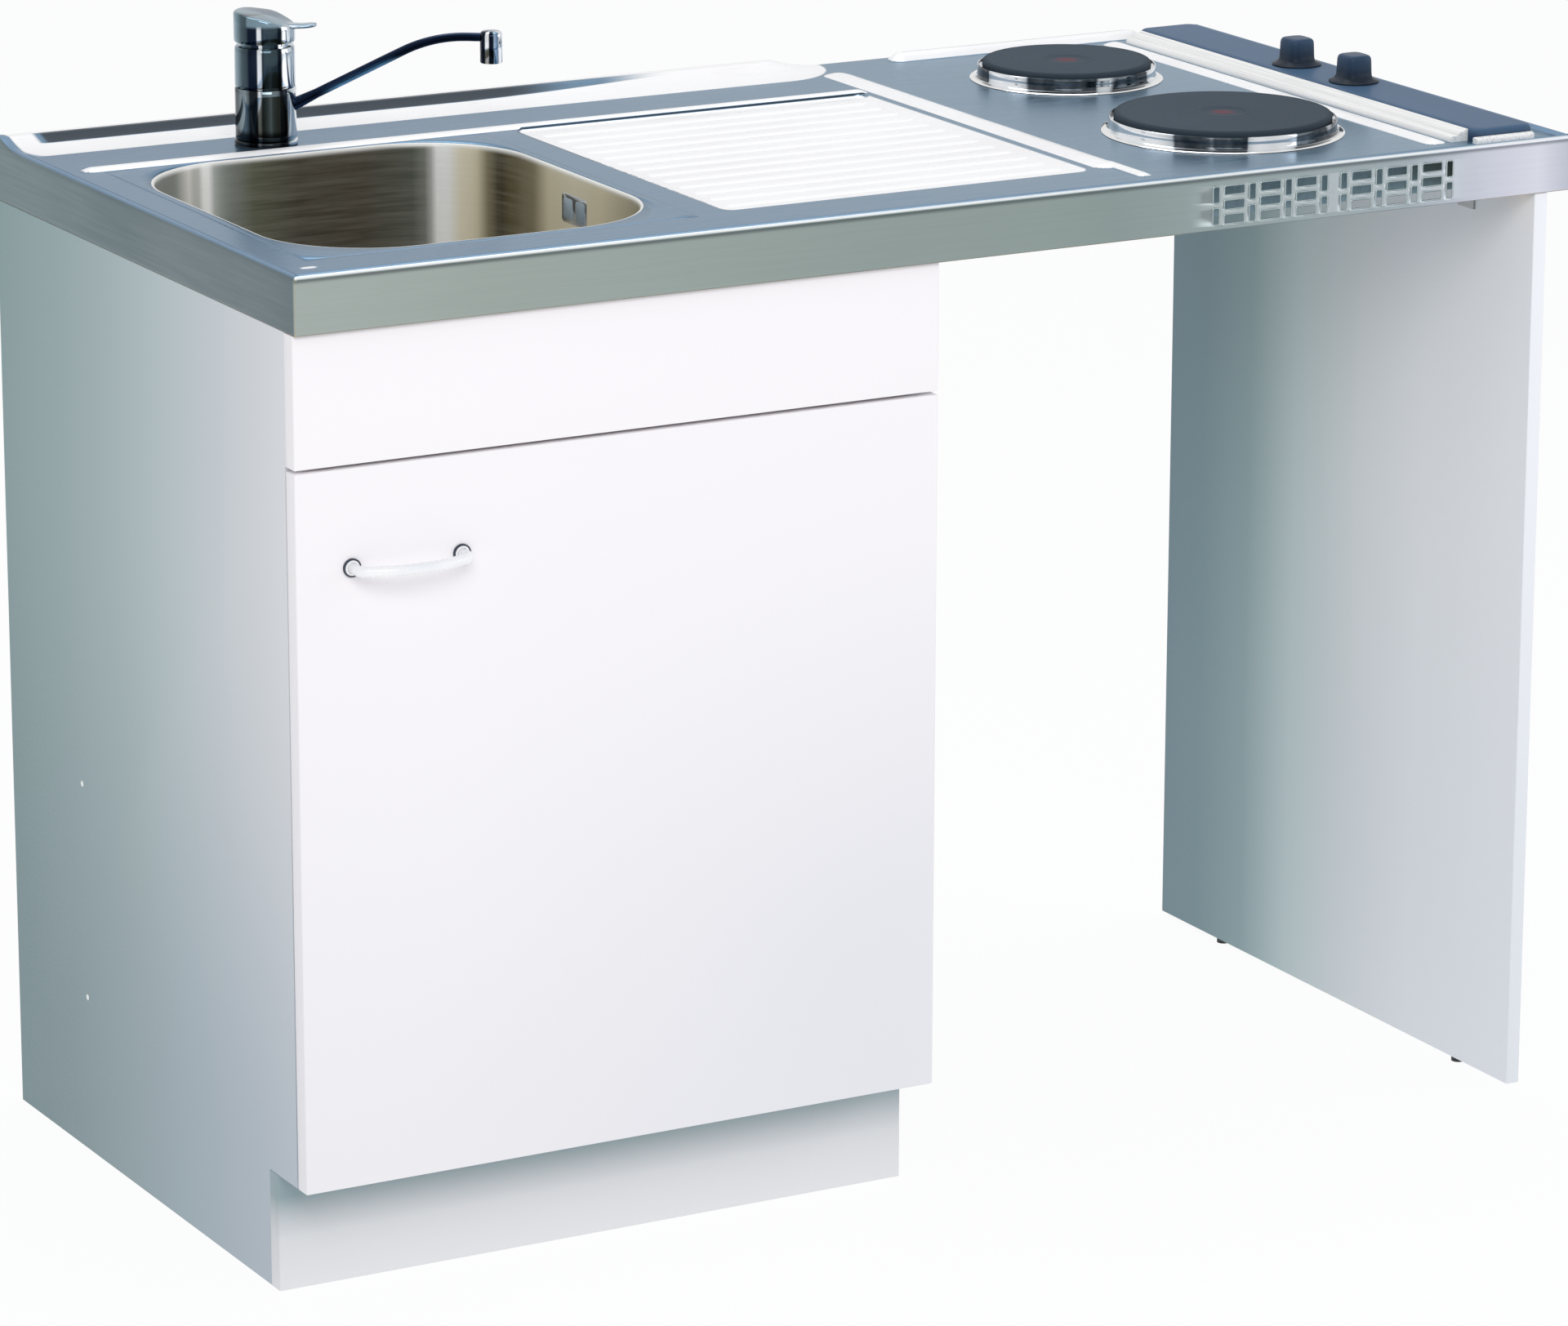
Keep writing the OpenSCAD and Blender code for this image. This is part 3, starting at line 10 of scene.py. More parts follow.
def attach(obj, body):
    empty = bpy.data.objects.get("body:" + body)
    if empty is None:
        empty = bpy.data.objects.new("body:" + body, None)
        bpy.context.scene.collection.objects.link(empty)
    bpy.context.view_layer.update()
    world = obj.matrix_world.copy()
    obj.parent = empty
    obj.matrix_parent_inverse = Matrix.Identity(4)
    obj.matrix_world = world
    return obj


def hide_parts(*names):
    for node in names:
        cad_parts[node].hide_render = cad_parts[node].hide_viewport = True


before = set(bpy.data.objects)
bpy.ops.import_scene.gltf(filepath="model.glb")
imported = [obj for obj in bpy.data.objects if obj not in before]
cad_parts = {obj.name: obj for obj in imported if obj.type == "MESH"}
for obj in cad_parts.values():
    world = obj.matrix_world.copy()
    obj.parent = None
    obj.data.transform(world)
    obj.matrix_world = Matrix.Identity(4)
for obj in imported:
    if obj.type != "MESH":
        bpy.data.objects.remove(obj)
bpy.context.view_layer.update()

# Millimetres from the worktop's left front floor corner; CORNER is that corner in the row frame
CORNER = (-600, -286.427)
WIDE, DEEP, DECK = 1200, 600, 850
SHEET = 0.8
FASCIA_H = 45
CARCASS_TOP = 805
CABINET_W, BOARD_T = 578, 16
FRONT_Y, DOOR_TOP, APRON_FOOT, PLINTH_Y, PLINTH_H = 5, 694, 697, 60, 100
CROSS_X, CROSS_W = 784, 28
COVE_Y, COVE_W, COVE_RIM, COVE_H = 537, 52, 11, 9
COVE_TURN = CROSS_X + CROSS_W / 2 - COVE_W - COVE_RIM
BOWL_BOX, BOWL_R, BOWL_FLOOR = (48, 73, 378, 451), 95, 150.8
BOWL_X, BOWL_Y = 213, 262
DRAIN_BOX, DRAIN_R, RIBS = (418, 73, 764, 457), 12, 13
EDGE = 9.5
PLATES = [(952, 168, 94.5), (960, 440, 76)]
VENT_X, VENT_NARROW, VENT_WIDE, VENT_WEB, VENT_GAP = 837, 6.5, 20, 4.5, 13
VENT_Z, VENT_H, VENT_PAIRS = 810, 32, 3
CONSOLE_BOX, CONSOLE_R = (1112, 20, 1174, 570), 12
KNOB_X, KNOB_Z, KNOB_YS = 1143, 861.3, (255, 347)
TAP_X, TAP_Y, TAP_TURN = 208, 503, math.radians(-35)
SPOUT_REACH, SPOUT_TOP, SPOUT_SLOPE, SPOUT_R = 193, DECK + 95, math.radians(27), 4
HANDLE_X, HANDLE_Z, HANDLE_HALF, HANDLE_R = 96, 614, 48, 4.4
# Each bead: first end, last end, width, rise
BEADS = [
    (CROSS_X, 87, CROSS_X, 540, CROSS_W, 3), (CROSS_X + 7, 37, CROSS_X + 7, 90, 14, 2.6),
    (31.5, 464.5, 760, 464.5, 19, 3), (872, 584, 1114, 584, 24, 7), (1081, 39, 1081, 555, 22, 3),
]


def place(x, y, z):
    return ((x + CORNER[0]) / 1000, (y + CORNER[1]) / 1000, z / 1000)


def add_object(name, data):
    obj = bpy.data.objects.new(name, data)
    bpy.context.collection.objects.link(obj)
    return obj


def rgba(screen):
    """Linear colour of a screen colour such as 6F8FAB."""
    values = [int(screen[i:i + 2], 16) / 255 for i in (0, 2, 4)]
    return (*(v / 12.92 if v <= 0.04045 else ((v + 0.055) / 1.055) ** 2.4 for v in values), 1)


def smoothstep(a, b, x):
    t = min(1, max(0, (x - a) / (b - a)))
    return t * t * (3 - 2 * t)


class Graph:
    """The nodes of one tree; an input takes a number, a screen colour or another node's socket."""

    def __init__(self, tree, clear=False):
        self.nodes, self.links = tree.nodes, tree.links
        if clear:
            self.nodes.clear()

    def feed(self, socket, value):
        if isinstance(value, bpy.types.NodeSocket):
            self.links.new(value, socket)
        else:
            socket.default_value = rgba(value) if isinstance(value, str) and socket.type == "RGBA" else value

    def add(self, kind, inputs=(), **settings):
        node = self.nodes.new(kind)
        for key, value in settings.items():
            setattr(node, key, value)
        for key, value in dict(inputs).items():
            self.feed(node.inputs[key], value)
        return node

    def math(self, operation, *values):
        return self.add("ShaderNodeMath", enumerate(values), operation=operation).outputs[0]

    def product(self, *values):
        result = values[0]
        for value in values[1:]:
            result = self.math("MULTIPLY", result, value)
        return result


# ---------------------------------------------------------------- camera, lights, room


def make_camera():
    """A long lens from the front left, a little above the worktop."""
    data = bpy.data.cameras.new("studio_camera")
    data.sensor_width, data.lens, data.clip_end = 36, 157.746, 50
    camera = add_object("studio_camera", data)
    target, distance = Vector((-0.00253, 0.01347, 0.39154)), 5.948
    azimuth, elevation, roll = (math.radians(angle) for angle in (-28.858, 15.558, 0.1372))
    away = Vector((math.sin(azimuth) * math.cos(elevation), -math.cos(azimuth) * math.cos(elevation),
                   math.sin(elevation)))
    camera.location = target + away * distance
    camera.rotation_euler = ((-away).to_track_quat("-Z", "Y") @ Quaternion((0, 0, 1), roll)).to_euler()
    bpy.context.scene.camera = camera


def make_lamp(name, spot, target, size, power, color):
    data = bpy.data.lights.new(name, "AREA")
    data.shape = "RECTANGLE"
    data.size, data.size_y = size
    data.energy, data.color = power, color
    lamp = add_object(name, data)
    lamp.location = spot
    lamp.rotation_euler = (Vector(target) - lamp.location).to_track_quat("-Z", "Y").to_euler()


def by_sight(graph, others, camera):
    """One number for the rays of the camera and one for all other rays."""
    seen = graph.add("ShaderNodeLightPath").outputs["Is Camera Ray"]
    return graph.add("ShaderNodeMapRange", {"Value": seen, "To Min": others, "To Max": camera}).outputs[0]


def make_world():
    """White for the camera, mirrors and glass, and a soft light for everything else."""
    world = bpy.data.worlds.new("studio_world")
    bpy.context.scene.world = world
    world.use_nodes = True
    graph = Graph(world.node_tree, clear=True)
    soft = graph.add("ShaderNodeBackground", {"Color": (0.9, 0.95, 1, 1), "Strength": 0.6})
    white = graph.add("ShaderNodeBackground", {"Color": "FFFFFF", "Strength": by_sight(graph, 0.8, 1)})
    rays = graph.add("ShaderNodeLightPath").outputs
    seen = graph.math("MAXIMUM", rays["Is Camera Ray"], rays["Is Glossy Ray"])
    seen = graph.math("MAXIMUM", seen, rays["Is Transmission Ray"])
    mix = graph.add("ShaderNodeMixShader", {0: seen, 1: soft.outputs[0], 2: white.outputs[0]})
    graph.add("ShaderNodeOutputWorld", {"Surface": mix.outputs[0]})


def make_floor():
    """A pale floor that almost glows, so that only a faint shadow stays."""
    half, low = 9, -0.0004
    mesh = bpy.data.meshes.new("studio_floor")
    corners = ((-half, -half), (half, -half), (half, half), (-half, half))
    mesh.from_pydata([(x, y, low) for x, y in corners], [], [(0, 1, 2, 3)])
    floor = add_object("studio_floor", mesh)
    material = bpy.data.materials.new("pale_floor")
    material.use_nodes = True
    graph = Graph(material.node_tree, clear=True)
    paint = graph.add("ShaderNodeBsdfDiffuse", {"Color": (0.98, 0.98, 0.98, 1)})
    glow = graph.add("ShaderNodeEmission")
    share = by_sight(graph, 0.8, 0.93)
    mix = graph.add("ShaderNodeMixShader", {0: share, 1: paint.outputs[0], 2: glow.outputs[0]})
    graph.add("ShaderNodeOutputMaterial", {"Surface": mix.outputs[0]})
    mesh.materials.append(material)


make_camera()
make_world()
make_floor()
make_lamp("key_lamp", (-1.6, -3.4, 2.9), (0, 0, 0.5), (2.6, 1.6), 54, (1, 0.99, 0.98))
make_lamp("fill_lamp", (3.2, -2, 1.8), (0, 0, 0.4), (2, 2), 21, (0.97, 0.97, 1))
make_lamp("top_lamp", (0.2, 0.9, 3.4), (0, 0, 0.8), (2.4, 1.4), 26, (1, 1, 1))
bpy.context.scene.view_settings.view_transform = "Standard"

# ---------------------------------------------------------------- finishes


class Finish(Graph):
    """A material written out over Object coordinates, in metres; color is what it has so far."""

    def __init__(self, name, color, metallic, roughness):
        self.material = bpy.data.materials.new(name)
        self.material.use_nodes = True
        super().__init__(self.material.node_tree)
        self.shader, self.color = self.nodes["Principled BSDF"], color
        self.set("Base Color", color).set("Metallic", metallic).set("Roughness", roughness)
        self.coords = self.add("ShaderNodeTexCoord").outputs["Object"]

    def set(self, socket, value):
        self.feed(self.shader.inputs[socket], value)
        return self

    def noise(self, scale, stretch=(1, 1, 1), detail=2):
        mapped = self.add("ShaderNodeMapping", {"Scale": stretch, "Vector": self.coords}).outputs[0]
        return self.add("ShaderNodeTexNoise", {"Scale": scale, "Detail": detail, "Vector": mapped}).outputs["Fac"]

    def axis(self, letter):
        return self.add("ShaderNodeSeparateXYZ", {0: self.coords}).outputs[letter]

    def around(self, x, y):
        """Share of a full turn round the upright line through x, y."""
        across, along = self.math("SUBTRACT", self.axis("X"), x), self.math("SUBTRACT", self.axis("Y"), y)
        angle = self.math("ARCTAN2", along, across)
        return self.math("FRACT", self.math("ADD", self.math("MULTIPLY", angle, 0.5 / math.pi), 1))

    def attribute(self, name):
        return self.add("ShaderNodeAttribute", attribute_name=name).outputs["Fac"]

    def span(self, value, low, high, out_low=0, out_high=1, kind="SMOOTHSTEP"):
        inputs = {"Value": value, "From Min": low, "From Max": high, "To Min": out_low, "To Max": out_high}
        return self.add("ShaderNodeMapRange", inputs, interpolation_type=kind).outputs[0]

    def ramp(self, value, stops):
        """Colour along a value; stops reads '0 FFFFFF, .5 808080'."""
        node = self.add("ShaderNodeValToRGB", {"Fac": value})
        steps, stops = node.color_ramp.elements, [stop.split() for stop in stops.split(",")]
        while len(steps) < len(stops):
            steps.new(0.5)
        for step, (position, color) in zip(steps, stops):
            step.position, step.color = float(position), rgba(color)
        return node.outputs["Color"]

    def start(self, color):
        self.color = color
        return self

    def blend(self, share, shade, mode="MIX"):
        node = self.add("ShaderNodeMix", {"Factor": share}, data_type="RGBA", blend_type=mode)
        for name, item in (("A", self.color), ("B", shade)):
            self.feed(next(s for s in node.inputs if s.name == name and s.type == "RGBA"), item)
        return self.start(next(s for s in node.outputs if s.type == "RGBA"))

    def tint(self, value, low, high, shade, most=1):
        """Lays a shade on, by up to most where the value goes from low to high."""
        return self.blend(self.span(value, low, high, 0, most), shade)

    def done(self, value, smooth, rough, depth=0, strength=0, low=0.3, high=0.7, relief=None):
        """Gives the shader its colour, its roughness along a value, and a relief of some depth."""
        self.set("Base Color", self.color).set("Roughness", self.span(value, low, high, smooth, rough))
        if depth:
            inputs = {"Distance": depth, "Strength": strength, "Height": value if relief is None else relief}
            self.set("Normal", self.add("ShaderNodeBump", inputs).outputs[0])
        return self.material


def deck_steel():
    """Rolled worktop sheet: blue-grey flats as painted reflection, white painted highlights, painted shade lines,
    painted shade at the rib ends beside the drainer.
    """
    look = Finish("deck_steel", "6C8CA8", 0.85, 0.3)
    grain = look.noise(260, (0.06, 1, 1), 3)
    x, y, tone = look.axis("X"), look.axis("Y"), look.attribute("tone")
    # Painted highlight white for the beads, cove and corner glint, and painted reflection white over the drainer.
    white = look.start("FDFBFA").tint(look.noise(7, detail=3), 0.35, 0.7, "F1EDEE", 0.5).color
    # Blue-grey flats, paler to the right: painted reflection of the steel.
    look.start("5F809C").tint(x, -0.6, 0.6, "6F8EA5").tint(look.noise(1.6, (1, 1.6, 1)), 0.3, 0.7, "6987A0", 0.5)
    # The tone attribute lays on the painted highlight white, and painted shade lines in 2C3844.
    look.tint(grain, 0.2, 0.8, "8FA9BF", 0.14).tint(tone, 0.12, 0.85, white).tint(tone, -0.1, -0.8, "2C3844")
    # Painted shade at the left ends of the drainer ribs, in 6A6468.
    painted_rib_end_shade = look.product(look.span(x, -0.183, -0.1815), look.span(x, -0.1755, -0.1775), look.span(y, 0.055, 0.02),
                         look.span(y, -0.2125, -0.2095), look.span(look.noise(150), 0.47, 0.55))
    # Less metallic under the painted highlight, so that it reads white.
    look.set("Metallic", look.span(tone, 0.1, 0.8, 0.85, 0.12))
    return look.blend(painted_rib_end_shade, "6A6468").done(grain, 0.26, 0.36, 4e-5, 0.35, 0.2, 0.8)


def fascia_steel():
    """Brushed fascia: green-grey front that turns lilac-white at the right end as painted reflection, teal-grey
    left end as painted shade.
    """
    look = Finish("fascia_steel", "8C9E96", 0.7, 0.36)
    grain = look.noise(420, (0.03, 0.03, 1), 3)
    y, tone = look.axis("Y"), look.attribute("tone")
    # Painted reflection along the front.
    front = look.ramp(look.span(look.axis("X"), -0.6, 0.6, kind="LINEAR"), "0 A4ADA8, .3 96A29D, .62 8A9896, "
                      ".86 9FABB1, .92 CACCDA, .97 DDDDE9, 1 B9BDCB")
    # Painted shade on the left end.
    side = look.start("5B6C72").tint(y, -0.28, 0.31, "64787D").color
    look.start(front).tint(y, -0.2855, -0.2835, side)
    look.tint(look.noise(3, (1, 1, 0.4)), 0.35, 0.65, "B7C2BE", 0.1).tint(grain, 0.25, 0.75, "5E6C6E", 0.05)
    # Top faces take the deck's blue-grey painted reflection; tone lays painted highlight and painted shade lines.
    look.blend(look.attribute("top"), "6F8DA9").tint(tone, 0.05, 0.9, "EFF3F5").tint(tone, -0.05, -0.9, "2F3B41")
    return look.done(grain, 0.3, 0.44, 3e-5, 0.12, 0.2, 0.8)


def bowl_steel():
    """Satin bowl, brushed round its walls: warm dark flanks as painted shade, bright upright bands as painted
    reflection, painted shade deeper down, a painted highlight on the rim and a pale floor.
    """
    look = Finish("bowl_steel", "7C776B", 0.12, 0.36)
    grain, depth = look.noise(330, (0.05, 0.05, 1), 4), look.attribute("depth")
    # Painted reflection and painted shade round the walls, by the turn about the bowl's middle.
    wall = look.ramp(
        look.around((BOWL_X + CORNER[0]) / 1000, (BOWL_Y + CORNER[1]) / 1000),
        "0 F4EACD, .045 EADFBE, .068 8A8060, .098 665D3F, .108 3C3726, .118 8E8568, .126 E9DFC2, "
        ".138 F3EBD3, .145 FFFFFF, .152 FFFFFF, .158 7A7C75, .168 4A4E46, .2 3F3A2F, .25 3E392E, "
        ".285 565948, .303 7E8580, .312 A9AEAA, .316 FFFFFF, .322 FBFAF8, .326 82857F, .33 EDEBE7, "
        ".337 C4C4BF, .345 858A86, .43 6F706A, .52 5B584B, .64 9A9C98, .72 E0DFDC, .76 8D908C, "
        ".88 8A836C, .955 EADFBE, 1 F4EACD")
    # Painted shade that deepens towards the floor, paler again just above it.
    floor = look.ramp(depth, "0 FFFFFF, .06 F4F2EF, .4 D9D5CE, .75 A39C92, 1 8F8A83")
    look.start(wall).blend(0.25, floor, "MULTIPLY").tint(depth, 0.86, 0.96, "D9D7D2")
    # Painted highlight along the rolled rim.
    look.blend(look.span(depth, 0, 0.035, 0.9, 0), "F2F0EC").tint(grain, 0.2, 0.8, "C4BFB2", 0.12)
    return look.done(grain, 0.28, 0.42, 4e-5, 0.4, 0.2, 0.8)


def ring_chrome():
    """Plated rings: painted reflection in pale and dark zones, a painted highlight on the foot, over a clear
    mirror surface.
    """
    look = Finish("ring_chrome", "C4CBD0", 1, 0.07)
    painted_reflection_zones = look.span(look.noise(15, (1.4, 1.4, 0.25), 1), 0.36, 0.64)
    fine = look.noise(90, detail=3)
    look.start(look.ramp(painted_reflection_zones, "0 2C353C, .42 2C353C, .55 C4CBD0, 1 F4F7FA"))
    # The tone attribute lays the foot's painted highlight.
    look.blend(look.attribute("tone"), "FCFCFB").tint(fine, 0.3, 0.7, "C9D2DB", 0.08)
    return look.done(fine, 0.07, 0.13)


def trim_steel():
    """Trim beside the console: white as painted reflection of its steel, with faint lines drawn along it."""
    look = Finish("trim_steel", "F6F4F1", 0.12, 0.34)
    cloud = look.noise(5)
    look.start("F8F6F3").tint(cloud, 0.35, 0.7, "E9E7E6", 0.5)
    return look.tint(look.noise(420, (1, 0.01, 1)), 0.5, 0.62, "B9B9BB", 0.35).done(cloud, 0.3, 0.4)


def tap_chrome():
    """Chrome of the mixer: painted reflection in upright dark, blue-grey and white zones round its own axis."""
    look = Finish("tap_chrome", "7D93A8", 1, 0.08)
    band, height, cloud = look.attribute("turn"), look.axis("Z"), look.noise(26, (1, 1, 0.5))
    # upper, lower and crown are painted reflection zones round the tap's axis.
    upper, lower, crown = (look.ramp(band, stops) for stops in (
        "0 8FA8B6, .1 7A929E, .145 49585F, .178 3A474E, .19 0E1626, .235 0E1626, .242 F2F6FA, "
        ".258 EDF2F7, .265 1D262B, .28 3F4E54, .345 3A484E, .352 0C1118, .37 10151C, .378 F4F7FA, "
        ".44 D6E1EA, .47 7C94A8, .5 E6EDF3, .58 8FA8B6, .68 1B2430, .8 5F768D, .9 D5DFE8, 1 8FA8B6",
        "0 EAF1F5, .04 C4D3DB, .055 4A575E, .09 333C42, .13 7D8B91, .165 87959B, .195 20272C, "
        ".236 1C2227, .244 E4EBEF, .252 E4EBEF, .262 56636A, .3 7B898F, .345 6A777E, .36 1B2126, "
        ".4 161B20, .43 C4D3DD, .47 F2F6F9, .52 DCE6ED, .6 55667A, .75 2F3C4C, .88 8199B0, 1 EAF1F5",
        "0 8AA3B3, .1 7E97A4, .145 52626A, .175 4A5A62, .187 7F98A6, .3 8DA6B4, .45 9DB6C6, "
        ".6 6F8799, .8 50657A, 1 8AA3B3"))
    # A near-black painted reflection low on the body.
    foot = look.product(look.span(height, 0.8665, 0.8605, 0, 0.88), look.span(band, 0.42, 0.38))
    look.start(lower).blend(foot, "06080B").tint(height, 0.899, 0.8996, upper).tint(height, 0.9515, 0.955, crown)
    return look.tint(cloud, 0.4, 0.75, "46596D", 0.22).done(cloud, 0.06, 0.12)


def spout_chrome():
    """Chrome tube with painted reflection: navy above, a blue stripe along its lower side."""
    look = Finish("spout_chrome", "141D30", 1, 0.12)
    band, height, cloud = look.attribute("turn"), look.axis("Z"), look.noise(40)
    painted_reflection_stripe = look.ramp(band, "0 1B2740, .45 22395A, .54 4A7BA6, .63 6A9CC6, .7 4C7FAB, .78 15213A, "
                       ".9 1D2A42, 1 1B2740")
    look.start(look.ramp(band, "0 1B2740, .3 0F1728, .6 16223A, .8 0B1220, .92 26344C, 1 1B2740"))
    look.blend(look.product(look.span(height, 0.893, 0.903), look.span(height, 0.93, 0.92)), painted_reflection_stripe)
    return look.tint(cloud, 0.4, 0.75, "2B3B58", 0.25).done(cloud, 0.08, 0.16)


def nose_chrome():
    """Chrome outlet: painted reflection, one dark field between two narrow white strips."""
    look = Finish("nose_chrome", "1A2434", 1, 0.09)
    cloud = look.noise(50, (1, 1, 0.6))
    look.start(look.ramp(look.attribute("turn"), "0 1A2434, .175 0E1626, .19 F4F7FA, .232 F4F7FA, "
                         ".247 101724, .3 151D2B, .32 9FB9D2, .37 5B7693, .41 F4F7FA, .5 E3EAF1, "
                         ".6 2B3846, .8 7F97AD, 1 1A2434"))
    return look.tint(cloud, 0.4, 0.75, "46596D", 0.2).done(cloud, 0.06, 0.13)


def white_melamine(name, stops, along=("Y", -0.262, 0.312), foot="FFFFFF"):
    """Faced board: fine orange-peel, with painted shade along one axis and painted shade down to the floor."""
    shades = [stop.split()[1] for stop in stops.split(",")]
    look = Finish(name, shades[0], 0, 0.42)
    letter, start, end = along
    # The ramp's stops are painted shade along the board.
    color = look.ramp(look.span(look.axis(letter), start, end, kind="LINEAR"), stops)
    # Painted shade towards the floor.
    painted_floor_shade = look.start(color).blend(1, foot, "MULTIPLY").color
    look.start(color).tint(look.axis("Z"), 0.62, 0.08, painted_floor_shade)
    look.tint(look.noise(2.2, (1, 1, 0.6)), 0.35, 0.7, shades[len(shades) // 2], 0.08)
    return look.done(look.noise(900), 0.38, 0.47, 3e-5, 0.16)


def door_white():
    """Smooth white front: warm white above, a cooler tone towards the lower right."""
    look = Finish("door_white", "F4F1F3", 0, 0.36)
    right = look.product(look.span(look.axis("X"), -0.55, 0), 0.6)
    cool = look.product(look.span(look.axis("Z"), 0.72, 0.08), look.math("ADD", right, 0.4))
    look.start("F8F4F6").blend(cool, "E2E2E7").tint(look.noise(1.8, detail=1), 0.4, 0.7, "FAF7F8", 0.3)
    return look.done(look.noise(700), 0.32, 0.4, 2e-5, 0.14)


def cast_plate():
    """Coated cast iron: fine casting grain, turned rings and the faint red sensor spot."""
    look = Finish("cast_plate", "3D4A56", 0, 0.7).set("Specular IOR Level", 0.12)
    grain, tone = look.noise(1400, detail=3), look.attribute("tone")
    look.start("38444F").tint(look.noise(5), 0.3, 0.7, "2D3842", 0.5).tint(grain, 0.3, 0.7, "56636E", 0.25)
    look.tint(tone, 0, 1, "9A2F34", 0.62).tint(tone, 0, -1, "1C232B", 0.8)
    return look.done(grain, 0.62, 0.78, 6e-5, 0.35)


def console_blue():
    """Console moulding: blue-grey plastic with a soft moulded grain, painted light on the top and painted shade
    on the sides.
    """
    look = Finish("console_blue", "455F7B", 0, 0.42).set("Specular IOR Level", 0.15)
    grain = look.noise(1100, detail=3)
    # Sides painted darker as shade, top and shoulders painted paler as light.
    look.start("26364A").tint(look.axis("Z"), 0.852, 0.862, "47627F")
    look.tint(look.noise(9, (1, 0.5, 1), 3), 0.35, 0.7, "3B546F", 0.4).tint(grain, 0.3, 0.7, "587089", 0.12)
    return look.done(grain, 0.38, 0.5, 4e-5, 0.25)


def knob_blue():
    """Knob moulding: painted shade on the skirt and grip, painted light on the crown."""
    look = Finish("knob_blue", "3A4F66", 0, 0.42).set("Specular IOR Level", 0.15)
    # Painted shade low on the knob, painted light towards the crown.
    look.start("17212D").tint(look.axis("Z"), 0.862, 0.886, "344A63")
    look.tint(look.noise(60, (1, 1, 0.6)), 0.35, 0.7, "223245", 0.35)
    return look.done(look.noise(1500, detail=3), 0.3, 0.42, 4e-5, 0.3)


def rib_white():
    """Ribs painted white as reflection, with a soft grey drift and painted shade at their left ends."""
    look = Finish("drainer_steel", "FBF9F8", 0, 0.45)
    drift = look.noise(6, (1, 3, 1), 3)
    # Painted shade at the left ends of the ribs.
    rib_end_painted_shade = look.product(look.span(look.axis("X"), -0.1665, -0.1715), look.span(look.noise(160), 0.44, 0.56),
                        look.span(look.axis("Y"), 0.02, -0.1))
    look.start("FFFDFC").tint(drift, 0.4, 0.75, "F8F5F4", 0.5)
    return look.blend(rib_end_painted_shade, "4A505A").done(drift, 0.24, 0.34)


def bare_metal(name, color, streak, roughness=0.38):
    """Zinc-plated or stamped metal with rolling streaks and a slightly uneven plating."""
    look = Finish(name, color, 0.9, roughness)
    streaks = look.noise(240, (1, 0.08, 0.5), 3)
    look.tint(streaks, 0.3, 0.7, streak, 0.4).tint(look.noise(22, detail=3), 0.35, 0.7, streak, 0.3)
    return look.done(streaks, roughness - 0.06, roughness + 0.08, 4e-5, 0.3)


def moulded(name, color, shade, roughness=0.45, grain_scale=1200):
    """Moulded plastic or rubber: fine grain with a soft drift of its colour."""
    look = Finish(name, color, 0, roughness)
    look.tint(look.noise(18), 0.35, 0.7, shade)
    return look.done(look.noise(grain_scale, detail=3), roughness - 0.05, roughness + 0.07, 4e-5, 0.3)


def timber(name, pale, dark, grain_along=(0.05, 1, 1), scale=60):
    """Planed softwood or beech: long fibres, growth rings and small pores."""
    look = Finish(name, pale, 0, 0.6)
    fibre, pores = look.noise(scale, grain_along, 6), look.noise(scale * 9, grain_along, 3)
    look.start(look.ramp(fibre, ".25 %s, .5 %s, .8 %s" % (dark, pale, dark))).tint(pores, 0.45, 0.8, dark, 0.35)
    return look.done(pores, 0.52, 0.7, 2e-4, 0.3, relief=fibre)


STEEL, FASCIA, BOWL, TAP, SPOUT, NOSE = (make() for make in (
    deck_steel, fascia_steel, bowl_steel, tap_chrome, spout_chrome, nose_chrome))
CHROME, TRIM, FRONT, IRON, CONSOLE, KNOB, RIB = (make() for make in (
    ring_chrome, trim_steel, door_white, cast_plate, console_blue, knob_blue, rib_white))
# The boards' stops are painted shade, pale at the front and darker teal-grey towards the rear.
SIDE = white_melamine(
    "side_white", "0 E0E1E4, .17 D3D7DB, .37 BECACD, .58 A6B8B9, .78 91A8AA, 1 7D9A9C", foot="D2DBE2")
INNER = white_melamine("inner_white", "0 E2E3E4, .4 D5D8D9, 1 B9C2C3")
PANEL = white_melamine(
    "panel_white", "0 F0F1F5, .24 EAECF0, .41 DCE0E3, .59 BCCCCE, .725 85A0A4, .86 6A8891, 1 5F7C89",
    foot="F2F4F6")
# The plinth's darker top is the painted shadow under the door's overhang.
PLINTH = white_melamine("plinth_white", ".2 93A6AB, .36 BFC6CA, .55 D9DADC, 1 E4E4E6", ("Z", 0.1, 0))
# The tray's teal-grey, darker than plain zinc, is painted shade seen through the fascia's vent slots.
TRAY_ZINC = bare_metal("tray_zinc", "8299A3", "687E89", 0.45)
ZINC = bare_metal("zinc_plate", "A9ACAD", "8D9092")
BRASS = bare_metal("dull_brass", "B79C5E", "96804A", 0.36)
POLISHED = bare_metal("polished_waste", "C6C9CB", "A7ABAE", 0.2)
VENT_STEEL = bare_metal("vent_lip_steel", "B9C6C8", "A3B2B5", 0.3)
BLACK = moulded("black_plastic", "1D1F21", "2A2D30", 0.5)
GREY_BLUE = moulded("overflow_shade", "6F8493", "A9B7BF", 0.3)
